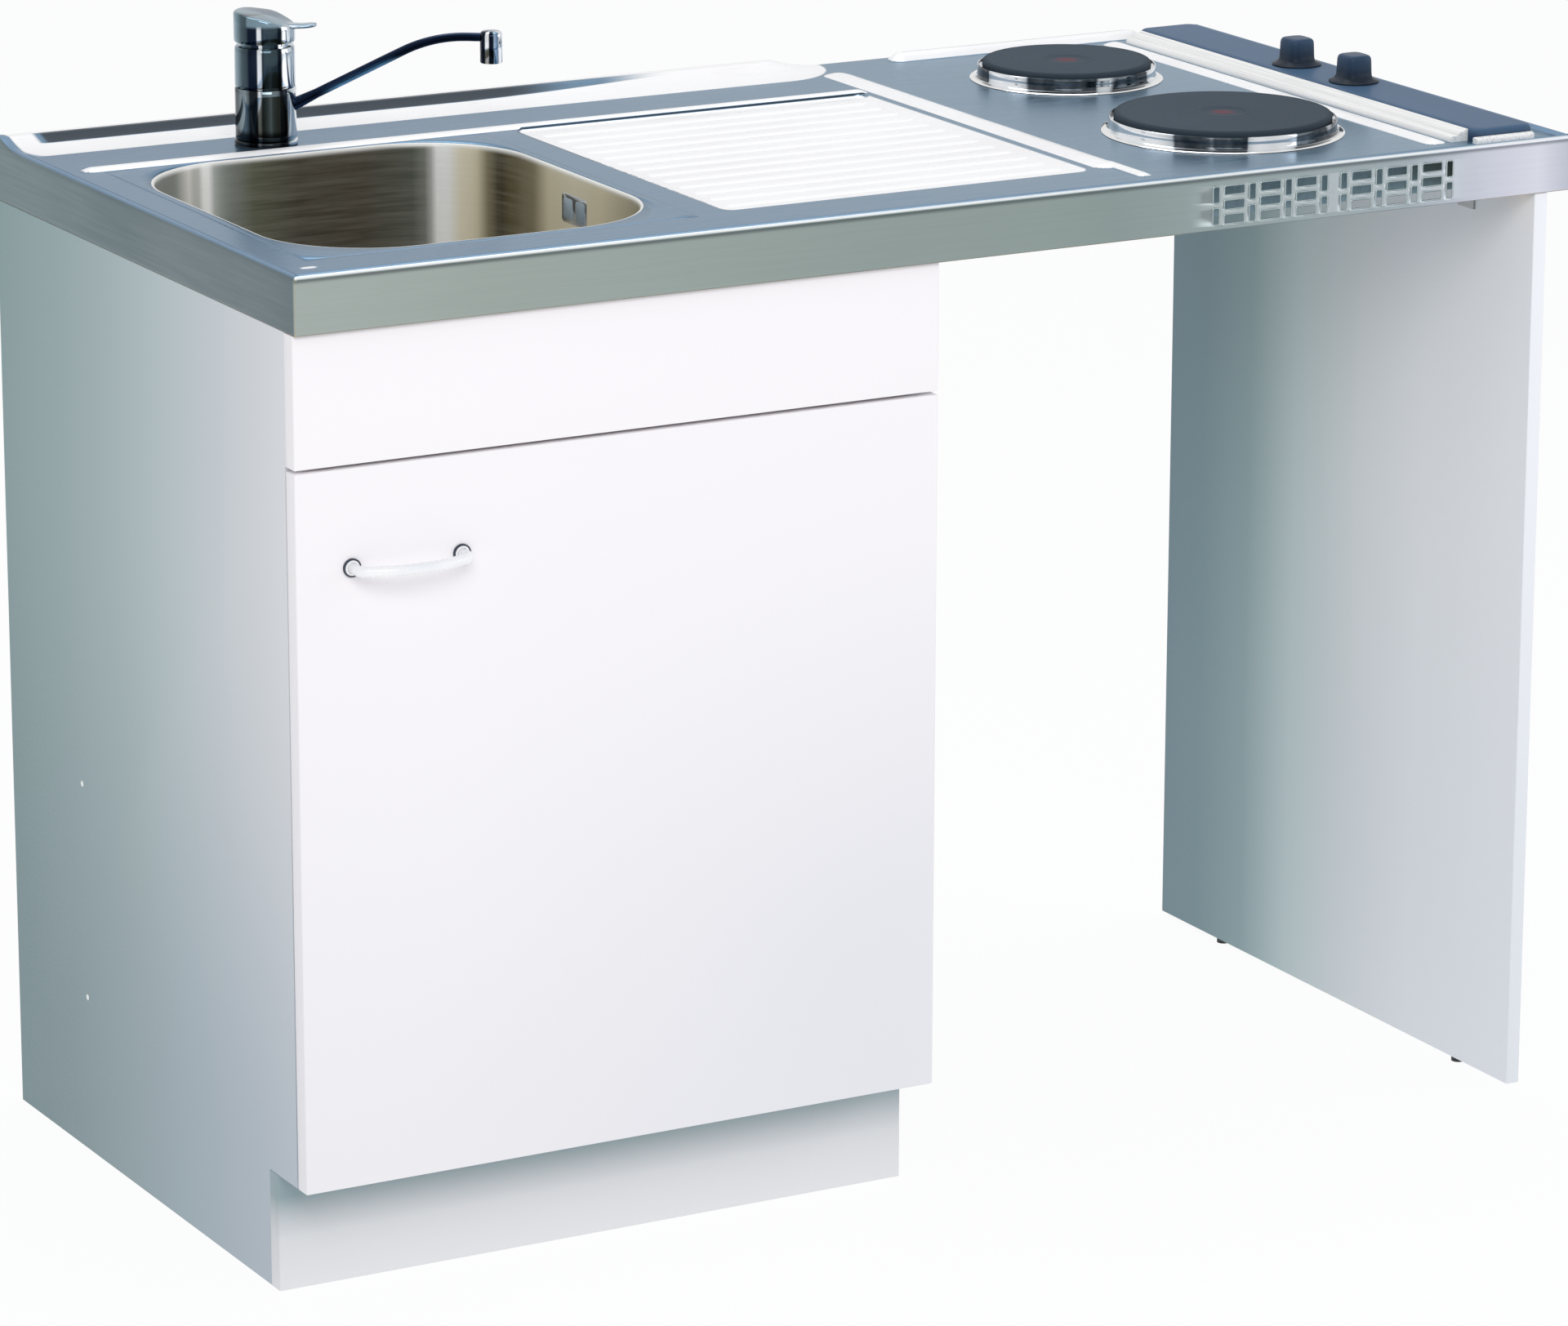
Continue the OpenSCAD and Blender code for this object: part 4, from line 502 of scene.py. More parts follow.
# Dark ring round the rosettes: painted shade for the shadow gap.
ROSETTE_SHADOW_RING = moulded("rosette_shadow_ring", "26303E", "3A4656", 0.35, 800)
WHITE_PLASTIC = moulded("white_plastic", "F6F6F4", "ECECE9", 0.4)
HANDLE = moulded("handle_white", "F7F7F8", "ECEDF0", 0.26, 600)
RUBBER = moulded("clear_rubber", "C9CDCF", "B4B9BC", 0.5)
CERAMIC = moulded("steatite", "DDD8CA", "CBC5B4", 0.6, 500)
PINE = timber("batten_pine", "C8AE84", "A98B5F")
BEECH = timber("dowel_beech", "D2B58A", "B5946A", scale=90)
HARDBOARD = timber("rear_board", "C9C4BB", "B3ADA2", (1, 1, 1), 160)

# ---------------------------------------------------------------- pieces


def finish_piece(obj, body, material, nodes, slot, smooth):
    """Dresses a piece, rides it on a body, and lets it stand for CAD nodes."""
    if not obj.data.materials:
        obj.data.materials.append(material)
    obj.data.shade_smooth()
    obj.data.set_sharp_from_angle(angle=math.radians(smooth))
    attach(obj, body)
    if nodes:
        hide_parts(*nodes)
    return obj


def new_piece(name, points, faces, body, material, nodes, slot, smooth, marks=None):
    """A mesh in millimetres from the worktop's corner; marks holds a value per point."""
    mesh = bpy.data.meshes.new(name)
    mesh.from_pydata([place(*p) for p in points], [], faces)
    for key, values in (marks or {}).items():
        mesh.attributes.new(key, "FLOAT", "POINT").data.foreach_set("value", values)
    mesh.validate()
    mesh.update()
    return finish_piece(add_object(name, mesh), body, material, nodes, slot, smooth)


def from_bmesh(name, shape, *looks):
    mesh = bpy.data.meshes.new(name)
    shape.to_mesh(mesh)
    shape.free()
    return finish_piece(add_object(name, mesh), *looks)


def thicken(obj):
    modifier = obj.modifiers.new("sheet", "SOLIDIFY")
    modifier.thickness = SHEET / 1000
    modifier.offset = -1


def outward(obj):
    shape = bmesh.new()
    shape.from_mesh(obj.data)
    bmesh.ops.remove_doubles(shape, verts=shape.verts, dist=1e-6)
    bmesh.ops.recalc_face_normals(shape, faces=shape.faces)
    shape.to_mesh(obj.data)
    shape.free()


def skin(rings, closed=True, cap_first=False, cap_last=False):
    """Points and faces between rings of equal count."""
    count = len(rings[0])
    faces = []
    for i in range(0, (len(rings) - 1) * count, count):
        for j in range(count if closed else count - 1):
            k = (j + 1) % count
            faces.append((i + j, i + k, i + count + k, i + count + j))
    if cap_first:
        faces.append(tuple(reversed(range(count))))
    if cap_last:
        base = (len(rings) - 1) * count
        faces.append(tuple(base + j for j in range(count)))
    return [p for ring in rings for p in ring], faces


def loft(name, rings, caps, *looks):
    """A closed skin over rings, with its normals outward."""
    obj = new_piece(name, *skin(rings, True, *caps), *looks)
    outward(obj)
    return obj


OPEN, CLOSED = (False, False), (True, True)


def circle(radius, count):
    turns = [2 * math.pi * j / count for j in range(count)]
    return [(radius * math.cos(turn), radius * math.sin(turn)) for turn in turns]


def turned(profile, count, x=0, y=0):
    """Rings round an upright axis from a profile of radius and height."""
    return [[(x + u, y + v, z) for u, v in circle(r, count)] for r, z in profile]


def swept(path, radii, count):
    """Rings of a round rod along a flat path: two coordinates in the path's plane, one across it."""
    rings = []
    for i, (x, y) in enumerate(path):
        a, b = path[max(0, i - 1)], path[min(len(path) - 1, i + 1)]
        size = math.dist(a, b)
        nx, ny = (a[1] - b[1]) / size, (b[0] - a[0]) / size
        rings.append([(x + nx * u, y + ny * u, v) for u, v in circle(radii[i], count)])
    return rings


def squared(value, power):
    """Bends a sine or cosine so that a round ring turns squarer."""
    return math.copysign(abs(value) ** power, value)


def round_rect(x0, y0, x1, y1, r, corner=24, side=24):
    """Points round a rounded rectangle, anticlockwise, with equal counts on every corner and side."""
    points = []
    centres = [(x1 - r, y0 + r, -90), (x1 - r, y1 - r, 0), (x0 + r, y1 - r, 90), (x0 + r, y0 + r, 180)]
    for index, (cx, cy, start) in enumerate(centres):
        for k in range(corner):
            angle = math.radians(start + 90 * k / (corner - 1))
            points.append((cx + r * math.cos(angle), cy + r * math.sin(angle)))
        nx, ny, angle = centres[(index + 1) % 4]
        a = points[-1]
        b = (nx + r * math.cos(math.radians(angle)), ny + r * math.sin(math.radians(angle)))
        points += [toward(a, b, k / (side + 1)) for k in range(1, side + 1)]
    return points


def inset_rect(box, inset, r, *counts):
    x0, y0, x1, y1 = box
    return round_rect(x0 + inset, y0 + inset, x1 - inset, y1 - inset, r, *counts)


def toward(a, b, t):
    return (a[0] + (b[0] - a[0]) * t, a[1] + (b[1] - a[1]) * t)


def cuts(low, high, step, *fine):
    """Grid lines from low to high, closer where a feature needs them: fine holds (from, to, step)."""
    steps = int(math.ceil((high - low) / step))
    values = {round(low + (high - low) * i / steps, 3) for i in range(steps + 1)}
    for a, b, size in fine:
        values = {v for v in values if not a < v < b}
        number = int(math.ceil((b - a) / size))
        values.update(round(a + (b - a) * i / number, 3) for i in range(number + 1))
    return sorted(v for v in values if low <= v <= high)


# ---- worktop


def cove_height(d):
    """Height of the cove and upstand at a distance d behind its front line."""
    if d <= 0:
        return 0
    radius = (COVE_W ** 2 + COVE_H ** 2) / (2 * COVE_H)
    return radius - math.sqrt(radius ** 2 - d ** 2) if d < COVE_W else COVE_H


def cove_distance(x, y):
    if x < COVE_TURN:
        return y - COVE_Y
    return COVE_W + COVE_RIM - math.hypot(x - COVE_TURN, DEEP - y)


def capsule(x, y, ax, ay, bx, by):
    """Distance from a point to the middle line of a bead."""
    dx, dy = bx - ax, by - ay
    t = max(0, min(1, ((x - ax) * dx + (y - ay) * dy) / (dx * dx + dy * dy)))
    return math.hypot(x - ax - t * dx, y - ay - t * dy)


def box_distance(x, y, box, r):
    """Signed distance inside a rounded rectangle, positive inside."""
    qx = abs(x - (box[0] + box[2]) / 2) - (box[2] - box[0]) / 2 + r
    qy = abs(y - (box[1] + box[3]) / 2) - (box[3] - box[1]) / 2 + r
    return -(math.hypot(max(qx, 0), max(qy, 0)) + min(max(qx, qy), 0) - r)


def deck_shape(x, y):
    """Height above the deck and tone (1 painted highlight in white, -1 painted shade line) at a point."""
    height, tone = 0, 0
    d = cove_distance(x, y) if x < CROSS_X + CROSS_W / 2 else -1
    if d > 0:
        height = cove_height(d)
        fade = smoothstep(690, 420, x)
        dark = smoothstep(26, 44, x) * fade
        # Painted highlight on the cove, with a painted shade strip in its hollow.
        tone = smoothstep(0, 5, d) * smoothstep(12, 30, x + 0.6 * d)
        strip = smoothstep(46 - 12 * fade, 49 - 12 * fade, d) * smoothstep(57.5, 55.5, d)
        tone = tone * (1 - strip) - strip * dark + tone * strip * (1 - dark)
    for ax, ay, bx, by, width, rise in BEADS:
        u = capsule(x, y, ax, ay, bx, by) / (width / 2)
        if u < 1:
            height = max(height, rise * (1 - u * u) ** 1.3)
            # Painted highlight along each bead.
            tone = max(tone, smoothstep(1, 0.84, u))
        if rise > 5 and abs(x - (ax + bx) / 2) < 118:
            # Painted shade line on the hob's rear bead.
            tone -= 1.9 * smoothstep(1.6, 0.7, abs(y - by - 1.5))
    # Painted highlight near the front left corner.
    glint = smoothstep(1, 0.55, math.hypot((x - 30) / 9, (y - 37) / 5))
    if glint > 0:
        tone = max(tone, glint)
    inside = box_distance(x, y, DRAIN_BOX, DRAIN_R)
    if inside > 0:
        # Painted reflection white over the drainer.
        height = -2 * smoothstep(0, 4, inside)
        tone = smoothstep(0, 1.6, inside)
    if abs(inside) < 1 and y > 300 and x < DRAIN_BOX[2] - 2:
        # Painted shade line along the drainer's sloped edge.
        tone = -0.95 * smoothstep(1, 0.4, abs(inside))
    if 425 < x < DRAIN_BOX[2] and 455.4 < y < 457.8:
        # Painted shade line along the drainer's rear edge.
        tone = -0.9
    return height, tone


def make_deck():
    """The pressed sheet as one grid, open at the hotplates, with a ring that meets the bowl's mouth."""
    hole = (38, 63, 388, 453)
    xs = cuts(EDGE, WIDE - EDGE, 14, (EDGE, 52, 3.2), (388, 388.5, 0.5), (413, 440, 1.5), (735, 800, 2.4),
              (858, 886, 2.2), (1066, 1096, 1.6), (1100, 1130, 2.5), (38, 38.5, 0.5))
    ys = cuts(EDGE, DEEP - 1.5, 12, (26, 46, 2.4), (63, 63.5, 0.5), (69, 90, 1.6), (452, 476, 1.1),
              (534, 598.5, 1.15))
    index, points, tones, faces = {}, [], [], []
    for x in xs:
        for y in ys:
            height, tone = deck_shape(x, y)
            index[x, y] = len(points)
            points.append((x, y, DECK + height))
            tones.append(tone)
    for x0, x1 in zip(xs, xs[1:]):
        for y0, y1 in zip(ys, ys[1:]):
            mx, my = (x0 + x1) / 2, (y0 + y1) / 2
            in_hole = hole[0] < mx < hole[2] and hole[1] < my < hole[3]
            if not in_hole and all(math.hypot(mx - x, my - y) >= rim - 12 for x, y, rim in PLATES):
                faces.append((index[x0, y0], index[x1, y0], index[x1, y1], index[x0, y1]))
    outer = round_rect(*hole, 0.4)
    inner = round_rect(46, 71, 380, 452.7, 96.7)
    base = len(points)
    more, ring_faces = skin([[(*toward(a, b, t), DECK) for a, b in zip(outer, inner)] for t in (0, 0.35, 0.7, 1)])
    points += more
    tones += [0] * len(more)
    faces += [tuple(base + i for i in face) for face in ring_faces]
    thicken(new_piece("worktop_deck", points, faces, "cabinet", STEEL, ("worktop_sheet", "worktop_sink_end"),
                      "stainless_deck", 40, {"tone": tones}))


def vent_openings():
    """Every slot of the fascia as (x0, z0, x1, z1)."""
    pitch = VENT_NARROW + VENT_WIDE + 2 * VENT_WEB
    group = VENT_PAIRS * pitch + VENT_NARROW
    slots = []
    for start in (VENT_X, VENT_X + group + VENT_GAP):
        for first, number, width, rows in ((start, VENT_PAIRS + 1, VENT_NARROW, 2),
                                           (start + VENT_NARROW + VENT_WEB, VENT_PAIRS, VENT_WIDE, 3)):
            for i in range(number):
                for k in range(rows):
                    x, z = first + i * pitch, VENT_Z + k * (VENT_H + VENT_WEB) / rows
                    slots.append((x, z, x + width, z + (VENT_H - (rows - 1) * VENT_WEB) / rows))
    return slots


def fascia_path(slots):
    """Points of the worktop's edge from the rear left round the front, each with its inward direction."""
    corner = 3
    path = [(0, y, 1, 0) for y in cuts(corner, DEEP, 30, (COVE_Y - 3, DEEP, 2.5))[::-1]]
    turns = [math.radians(90 * k / 8) for k in range(1, 8)]
    for turn in turns:
        c, s = math.cos(turn), math.sin(turn)
        path.append((corner - corner * c, corner - corner * s, c, s))
    marks = {round(v, 3) for slot in slots for v in (slot[0], slot[2])} | set(cuts(corner, WIDE - corner, 30))
    path += [(x, 0, 0, 1) for x in sorted(marks)]
    for turn in turns:
        c, s = math.cos(turn), math.sin(turn)
        path.append((WIDE - corner + corner * s, corner - corner * c, -s, c))
    return path + [(WIDE, y, -1, 0) for y in cuts(corner, DEEP, 30)]


def fascia_tone(front, x, depth, z):
    """Painted highlight on the drip edge, a painted shade line under it and along the hem, and a paler field
    round the vents.
    """
    if front and 6 < -z < 42 and 831 < x < 1082:
        return 0.3
    if z < -44:
        return -0.5
    if -1.7 < z < 0 and front:
        return -0.55
    if 0.5 < depth < 8.7 and z > 0:
        return 0.85 * smoothstep(3.4, 1.7, depth) if front else 0.06
    return 0


def make_fascia():
    """Drip edge, folded fascia and its hem, swept round the front and both ends."""
    slots = vent_openings()
    levels = sorted({round(v - DECK, 3) for slot in slots for v in (slot[1], slot[3])}, reverse=True)
    profile = [(EDGE, 0), (8.6, 0.12), (7.6, 0.75), (6.4, 1.65), (5.2, 2.25), (4, 2.45), (2.8, 2.25),
               (1.7, 1.65), (0.8, 0.7), (0.25, -0.4), (0, -1.6), (0, -5), *((0, level) for level in levels),
               (0, -42.5), (0.12, -43.9), (0.5, -44.7), (1.2, -FASCIA_H), (9, -FASCIA_H)]
    rings, tones, tops = [], [], []
    for x, y, nx, ny in fascia_path(slots):
        lift = cove_height(y - COVE_Y) if x < 1 else 0
        flat = smoothstep(COVE_Y, COVE_Y + 40, y) if x < 1 else 0
        ring = []
        for depth, z in profile:
            rise = z
            if z > 0 or depth == EDGE:
                rise = z * (1 - 0.8 * flat) + lift
            elif z > -1.7:
                rise = z + lift
            ring.append((x + nx * depth, y + ny * depth, DECK + rise))
            tones.append(fascia_tone(ny > 0.5 and y < 4, x, depth, z))
            # Top faces, which the finish paints in the deck's blue-grey painted reflection.
            tops.append(1 if depth > 1.5 and z >= 0 else 0)
        rings.append(ring)
    points, faces = skin(rings, closed=False)
    kept = []
    for face in faces:
        cx, cy, cz = (sum(points[i][axis] for i in face) / 4 for axis in range(3))
        if cy >= 0.01 or not any(slot[0] < cx < slot[2] and slot[1] < cz < slot[3] for slot in slots):
            kept.append(face)
    thicken(new_piece("folded_fascia", points, kept, "cabinet", FASCIA, ("worktop_fascia",), "stainless_deck", 50,
                      {"tone": tones, "top": tops}))


def make_rear_skirt():
    """The sheet's fold behind the upstand, with a rolled top edge."""
    rings, tones = [], []
    for x in cuts(0, WIDE, 20, (COVE_TURN, CROSS_X + CROSS_W / 2, 3)):
        top = DECK + (COVE_H if x < COVE_TURN else cove_height(COVE_W + COVE_RIM - (x - COVE_TURN)))
        rings.append([(x, DEEP - 1.6, top), (x, DEEP - 0.9, top - 0.15), (x, DEEP - 0.3, top - 0.6),
                      (x, DEEP, top - 1.5), (x, DEEP, DECK - 22), (x, DEEP, DECK - FASCIA_H)])
        # Painted highlight along the rolled top edge.
        tones += [0.85, 0.85, 0.5, 0, 0, 0]
    points, faces = skin(rings, closed=False)
    to_wall = [face[:1] + face[:0:-1] for face in faces]
    thicken(new_piece("worktop_rear_skirt", points, to_wall, "cabinet", FASCIA, (), "stainless_deck", 50,
                      {"tone": tones}))


make_deck()
make_fascia()
make_rear_skirt()

# ---- geometry-node patterns


def grow(name, seeds, rule, sizes, body, material, slot, smooth, extra=None):
    """Runs a node tree on seed points and keeps its result as a plain mesh.

    rule(graph, start) returns the geometry socket; start holds the sizes, in metres.
    """
    tree = bpy.data.node_groups.new(name + "_rule", "GeometryNodeTree")
    tree.interface.new_socket("Geometry", in_out="INPUT", socket_type="NodeSocketGeometry")
    for key in sizes:
        tree.interface.new_socket(key, in_out="INPUT", socket_type="NodeSocketFloat")
    tree.interface.new_socket("Geometry", in_out="OUTPUT", socket_type="NodeSocketGeometry")
    graph = Graph(tree)
    pieces = rule(graph, graph.add("NodeGroupInput").outputs)
    real = graph.add("GeometryNodeRealizeInstances", {0: pieces}).outputs[0]
    dress = graph.add("GeometryNodeSetMaterial", {"Geometry": real, "Material": material}).outputs[0]
    graph.add("NodeGroupOutput", {0: dress})
    mesh = bpy.data.meshes.new(name + "_seeds")
    mesh.from_pydata([place(*p) for p in seeds], [], [])
    for key, values in (extra or {}).items():
        layer = mesh.attributes.new(key, "FLOAT_VECTOR", "POINT")
        layer.data.foreach_set("vector", [c for v in values for c in v])
    carrier = add_object(name + "_seeds", mesh)
    modifier = carrier.modifiers.new("rule", "NODES")
    modifier.node_group = tree
    for item in tree.interface.items_tree:
        if item.in_out == "INPUT" and item.name in sizes:
            modifier[item.identifier] = sizes[item.name]
    grown = bpy.data.meshes.new_from_object(carrier.evaluated_get(bpy.context.evaluated_depsgraph_get()))
    carrier.modifiers.clear()
    bpy.data.objects.remove(carrier)
    finish_piece(add_object(name, grown), body, material, (), slot, smooth)


def spread(graph, start, instance, **more):
    inputs = {"Points": start["Geometry"], "Instance": instance, **more}
    return graph.add("GeometryNodeInstanceOnPoints", inputs).outputs[0]


def seed_vector(graph, name):
    node = graph.add("GeometryNodeInputNamedAttribute", {"Name": name}, data_type="FLOAT_VECTOR")
    return node.outputs["Attribute"]


def vector(graph, **parts):
    return graph.add("ShaderNodeCombineXYZ", parts).outputs[0]


def ribs_rule(graph, start):
    """A long low rib with round ends at every seed: a ball with its halves drawn apart."""
    ball = graph.add("GeometryNodeMeshUVSphere", {"Segments": 24, "Rings": 12, "Radius": 1}).outputs["Mesh"]
    spot = graph.add("ShaderNodeSeparateXYZ", {0: graph.add("GeometryNodeInputPosition").outputs[0]}).outputs
    apart = graph.product(graph.math("SIGN", spot["X"]), start["Half length"])
    x, y, z = (graph.product(spot[axis], start[size])
               for axis, size in (("X", "Half width"), ("Y", "Half width"), ("Z", "Rise")))
    moved = vector(graph, X=graph.math("ADD", x, apart), Y=y, Z=z)
    rib = graph.add("GeometryNodeSetPosition", {"Geometry": ball, "Position": moved}).outputs[0]
    return spread(graph, start, rib)


def frame_rule(graph, start):
    """A thin rolled lip round a slot; the slot's size is each seed's own."""
    outline = graph.add("GeometryNodeCurvePrimitiveQuadrilateral", {"Width": 1, "Height": 1}).outputs[0]
    upright = graph.add("FunctionNodeInputVector", vector=(math.pi / 2, 0, 0)).outputs[0]
    lips = spread(graph, start, outline, Rotation=upright, Scale=seed_vector(graph, "opening"))
    real = graph.add("GeometryNodeRealizeInstances", {0: lips}).outputs[0]
    inputs = {"Curve": real, "Radius": start["Corner"], "Count": 3}
    rounded = graph.add("GeometryNodeFilletCurve", inputs, mode="POLY").outputs[0]
    wire = graph.add("GeometryNodeCurvePrimitiveCircle", {"Resolution": 6, "Radius": start["Lip"]}).outputs[0]
    return graph.add("GeometryNodeCurveToMesh", {"Curve": rounded, "Profile Curve": wire}).outputs[0]


def screw_rule(graph, start):
    """A pan head with a cross recess at every seed, turned along the seed's own direction."""
    radius, height = start["Head"], start["Height"]
    head = graph.add("GeometryNodeMeshCylinder", {"Vertices": 20, "Radius": radius, "Depth": height})
    cross = graph.add("GeometryNodeJoinGeometry")
    for wide, deep in ((0.9, 0.22), (0.22, 0.9)):
        size = vector(graph, X=graph.product(radius, wide), Y=graph.product(radius, deep), Z=height)
        graph.feed(cross.inputs[0], graph.add("GeometryNodeMeshCube", {"Size": size}).outputs["Mesh"])
    lifted = graph.add("GeometryNodeTransform", {
        "Geometry": cross.outputs[0], "Translation": vector(graph, Z=graph.product(height, 0.5))}).outputs[0]
    inputs = {"Mesh 1": head.outputs["Mesh"], "Mesh 2": lifted}
    cut = graph.add("GeometryNodeMeshBoolean", inputs, operation="DIFFERENCE")
    turn = graph.add("FunctionNodeAlignEulerToVector", {"Vector": seed_vector(graph, "facing")}, axis="Z")
    return spread(graph, start, cut.outputs["Mesh"], Rotation=turn.outputs[0])


def screws(name, body, spots, head, height):
    """Pan-head screws; spots holds (x, y, z, facing)."""
    grow(name, [spot[:3] for spot in spots], screw_rule, {"Head": head / 1000, "Height": height / 1000}, body,
         ZINC, "zinc_steel", 30, {"facing": [spot[3] for spot in spots]})


grow("drainer_ribs", [(591, 73 + (i + 1) * 384 / (RIBS + 1), DECK - 2.2) for i in range(RIBS)], ribs_rule,
     {"Half length": 0.1525, "Half width": 0.0062, "Rise": 0.0011}, "cabinet", RIB, "stainless_deck", 60)
OPENINGS = vent_openings()
grow("vent_lips", [((s[0] + s[2]) / 2, 0.25, (s[1] + s[3]) / 2) for s in OPENINGS], frame_rule,
     {"Lip": 0.0007, "Corner": 0.0009}, "cabinet", VENT_STEEL, "stainless_deck", 60,
     {"opening": [((s[2] - s[0]) / 1000, (s[3] - s[1]) / 1000, 1) for s in OPENINGS]})

# ---- bowl


def make_bowl():
    """Rolled mouth, steep walls, a wide bend and a floor that falls to the waste."""
    bend, waste_r, fall = 34, 45.5, 1
    steps = [(-2, 0), (-1, -0.05), (0, -0.5), (0.55, -1.5), (0.8, -3.2), (0.9, -8), (1, -30), (1.2, -75),
             (1.6, -112)]
    for k in range(1, 11):
        angle = math.radians(9 * k)
        steps.append((1.6 + bend * (1 - math.cos(angle)), -(BOWL_FLOOR - fall - bend) - bend * math.sin(angle)))
    rings = [[(*p, DECK + z) for p in inset_rect(BOWL_BOX, inset, max(BOWL_R - inset, 40))] for inset, z in steps]
    last = inset_rect(BOWL_BOX, 35.6, BOWL_R - 35.6)
    for t in (0.25, 0.5, 0.75, 1):
        z = DECK - BOWL_FLOOR + fall - fall * min(1, t * 1.4)
        rings.append([])
        for x, y in last:
            share = waste_r / math.hypot(x - BOWL_X, y - BOWL_Y)
            goal = (BOWL_X + (x - BOWL_X) * share, BOWL_Y + (y - BOWL_Y) * share)
            rings[-1].append((*toward((x, y), goal, t), z))
    points, faces = skin(rings)
    depths = [min(1, (DECK - p[2]) / BOWL_FLOOR) for p in points]
    thicken(new_piece("bowl_shell", points, faces, "cabinet", BOWL, ("sink_bowl", "bowl_base"), "stainless_bowl",
                      60, {"depth": depths}))


def plate_form(name, x, y0, z0, wide, high, radius, thick, *looks):
    """A small rounded plate standing in the YZ plane, its face towards -X."""
    box = (y0, z0, y0 + wide, z0 + high)
    front, small = inset_rect(box, 0, radius, 8, 4), inset_rect(box, 0.5, radius - 0.5, 8, 4)
    levels = ((x, front), (x - thick + 0.4, front), (x - thick, small))
    loft(name, [[(level, *p) for p in ring] for level, ring in levels], CLOSED, "cabinet", *looks, 40)


make_bowl()
plate_form("overflow_face", 378, 239.5, 806.8, 45, 25, 4, 1.3, POLISHED, ("overflow_plate",), "polished_steel")
for mark, start in (("a", 242.5), ("b", 264.5)):
    plate_form("overflow_opening_" + mark, 376.9, start, 810.2, 17, 18, 3, 0.5, GREY_BLUE, (), "black_plastic")

# ---- hob


def plate_tone(r, radius, height):
    """Red in the sensor's dish, darker at the edge and on every second turned ring."""
    if height > 862 and radius < 14:
        return 0.55 * smoothstep(13, 5, radius)
    if radius > r - 4:
        return -0.5
    return -0.25 if int(radius / 3.2) % 2 else 0


def ring_foot_highlight(radius, height):
    # Painted highlight on the ring's foot, below 852 mm.
    return smoothstep(852.4, 851.6, height)


def hob_piece(name, x, y, profile, tone, *looks):
    count = 128
    loft(name, turned(profile, count, x, y), OPEN, "cabinet", *looks,
         {"tone": [tone(*step) for step in profile for _ in range(count)]})


def make_hotplate(name, spot, node, *ring_nodes):
    """Cast plate with a sensor dish and turned rings, in a chromed ring with a flange and an inner ledge."""
    x, y, rim = spot
    r, top, wall = rim - 1, 867, rim + 3
    face = [(0.01, top - 0.8), (8, top - 0.8), (18.5, top - 0.75), (20.5, top - 0.15), (22.5, top)]
    ring = 27
    while ring < r - 7:
        face += [(ring, top), (ring + 0.8, top - 0.12), (ring + 1.6, top)]
        ring += 6.4
    face += [(r - 5, top), (r - 2.4, top - 0.15), (r - 1, top - 0.9), (r - 0.2, top - 2.2), (r, top - 3.6),
             (r, top - 6.3), (r - 0.6, top - 6.9), (r - 8, top - 7), (r - 8, top - 12), (14, top - 12),
             (14, top - 20), (3, top - 20), (3, top - 42), (0.01, top - 42)]
    hob_piece(name, x, y, face[::-1], lambda *step: plate_tone(r, *step), IRON, (node,), "cast_iron", 40)
    shell = [(rim - 4.5, 850.05), (wall + 2, 850.05), (wall + 6.4, 850.05), (wall + 7, 850.4),
             (wall + 6.4, 851), (wall + 4.5, 851.5), (wall + 2.4, 851.9), (wall + 1, 852.6),
             (wall + 0.25, 853.9), (wall + 0.2, 858), (wall + 0.2, 861.6), (wall - 0.1, 862.5),
             (wall - 0.7, 862.9), (wall - 1.1, 862.5), (wall - 1.1, 859.6), (rim - 2.6, 859.4),
             (rim - 2.6, 858.9), (wall - 1.5, 858.8), (wall - 1.6, 853), (rim - 4.5, 851.2),
             (rim - 4.5, 850.05)]
    hob_piece(name + "_ring", x, y, shell, ring_foot_highlight, CHROME, ring_nodes, "chrome", 50)


make_hotplate("front_hotplate", PLATES[0], "hotplate_front", "plate_rings")
make_hotplate("rear_hotplate", PLATES[1], "hotplate_rear")


def make_console():
    """Blue moulding with rounded shoulders, the stepped trim beside it and a short strip before it."""
    rings = []
    for inset, z in ((0, 0), (0, 4.5), (0.15, 6.6), (0.7, 8.4), (1.8, 9.8), (3.2, 10.6), (5.2, 11), (9, 11)):
        ring = inset_rect(CONSOLE_BOX, inset, CONSOLE_R - min(inset, 6), 14, 30)
        rings.append([(*p, DECK + z) for p in ring])
    loft("console_moulding", rings, (False, True), "cabinet", CONSOLE, ("console_cover",), "console_plastic", 35)
    profile = [(1095, 0), (1095, 3.2), (1095.6, 4.4), (1097, 5), (1099.4, 5.1), (1100.2, 4.5), (1101, 5.1),
               (1102.6, 5.3), (1103.4, 7.2), (1104.4, 8.2), (1106.5, 8.6), (1107.3, 7.9), (1108.1, 8.7),
               (1109.6, 9.8), (1110.6, 10.2), (1111.9, 10.2), (1111.9, 0)]
    rings = [[(x, y, DECK + z) for x, z in profile] for y in (32, 32.6, 200, 400, 557.4, 558)]
    loft("console_edge_trim", rings, CLOSED, "cabinet", TRIM, ("console_trim",), "polished_steel", 30)
    profile = [(13.6, 0), (13.6, 3.4), (14.2, 4.6), (15.6, 5.2), (17.6, 5.6), (19.2, 5.4), (19.6, 4.6),
               (19.6, 0)]
    rings = [[(x, y + back, DECK + z * share) for y, z in profile]
             for x, back, share in ((1109, 0.6, 0.9), (1109.6, 0, 1), (1130, 0, 1), (1150, 0, 1), (1167.4, 0, 1),
                                    (1168, 0.6, 0.9))]
    loft("console_front_strip", rings, CLOSED, "cabinet", TRIM, (), "polished_steel", 30)


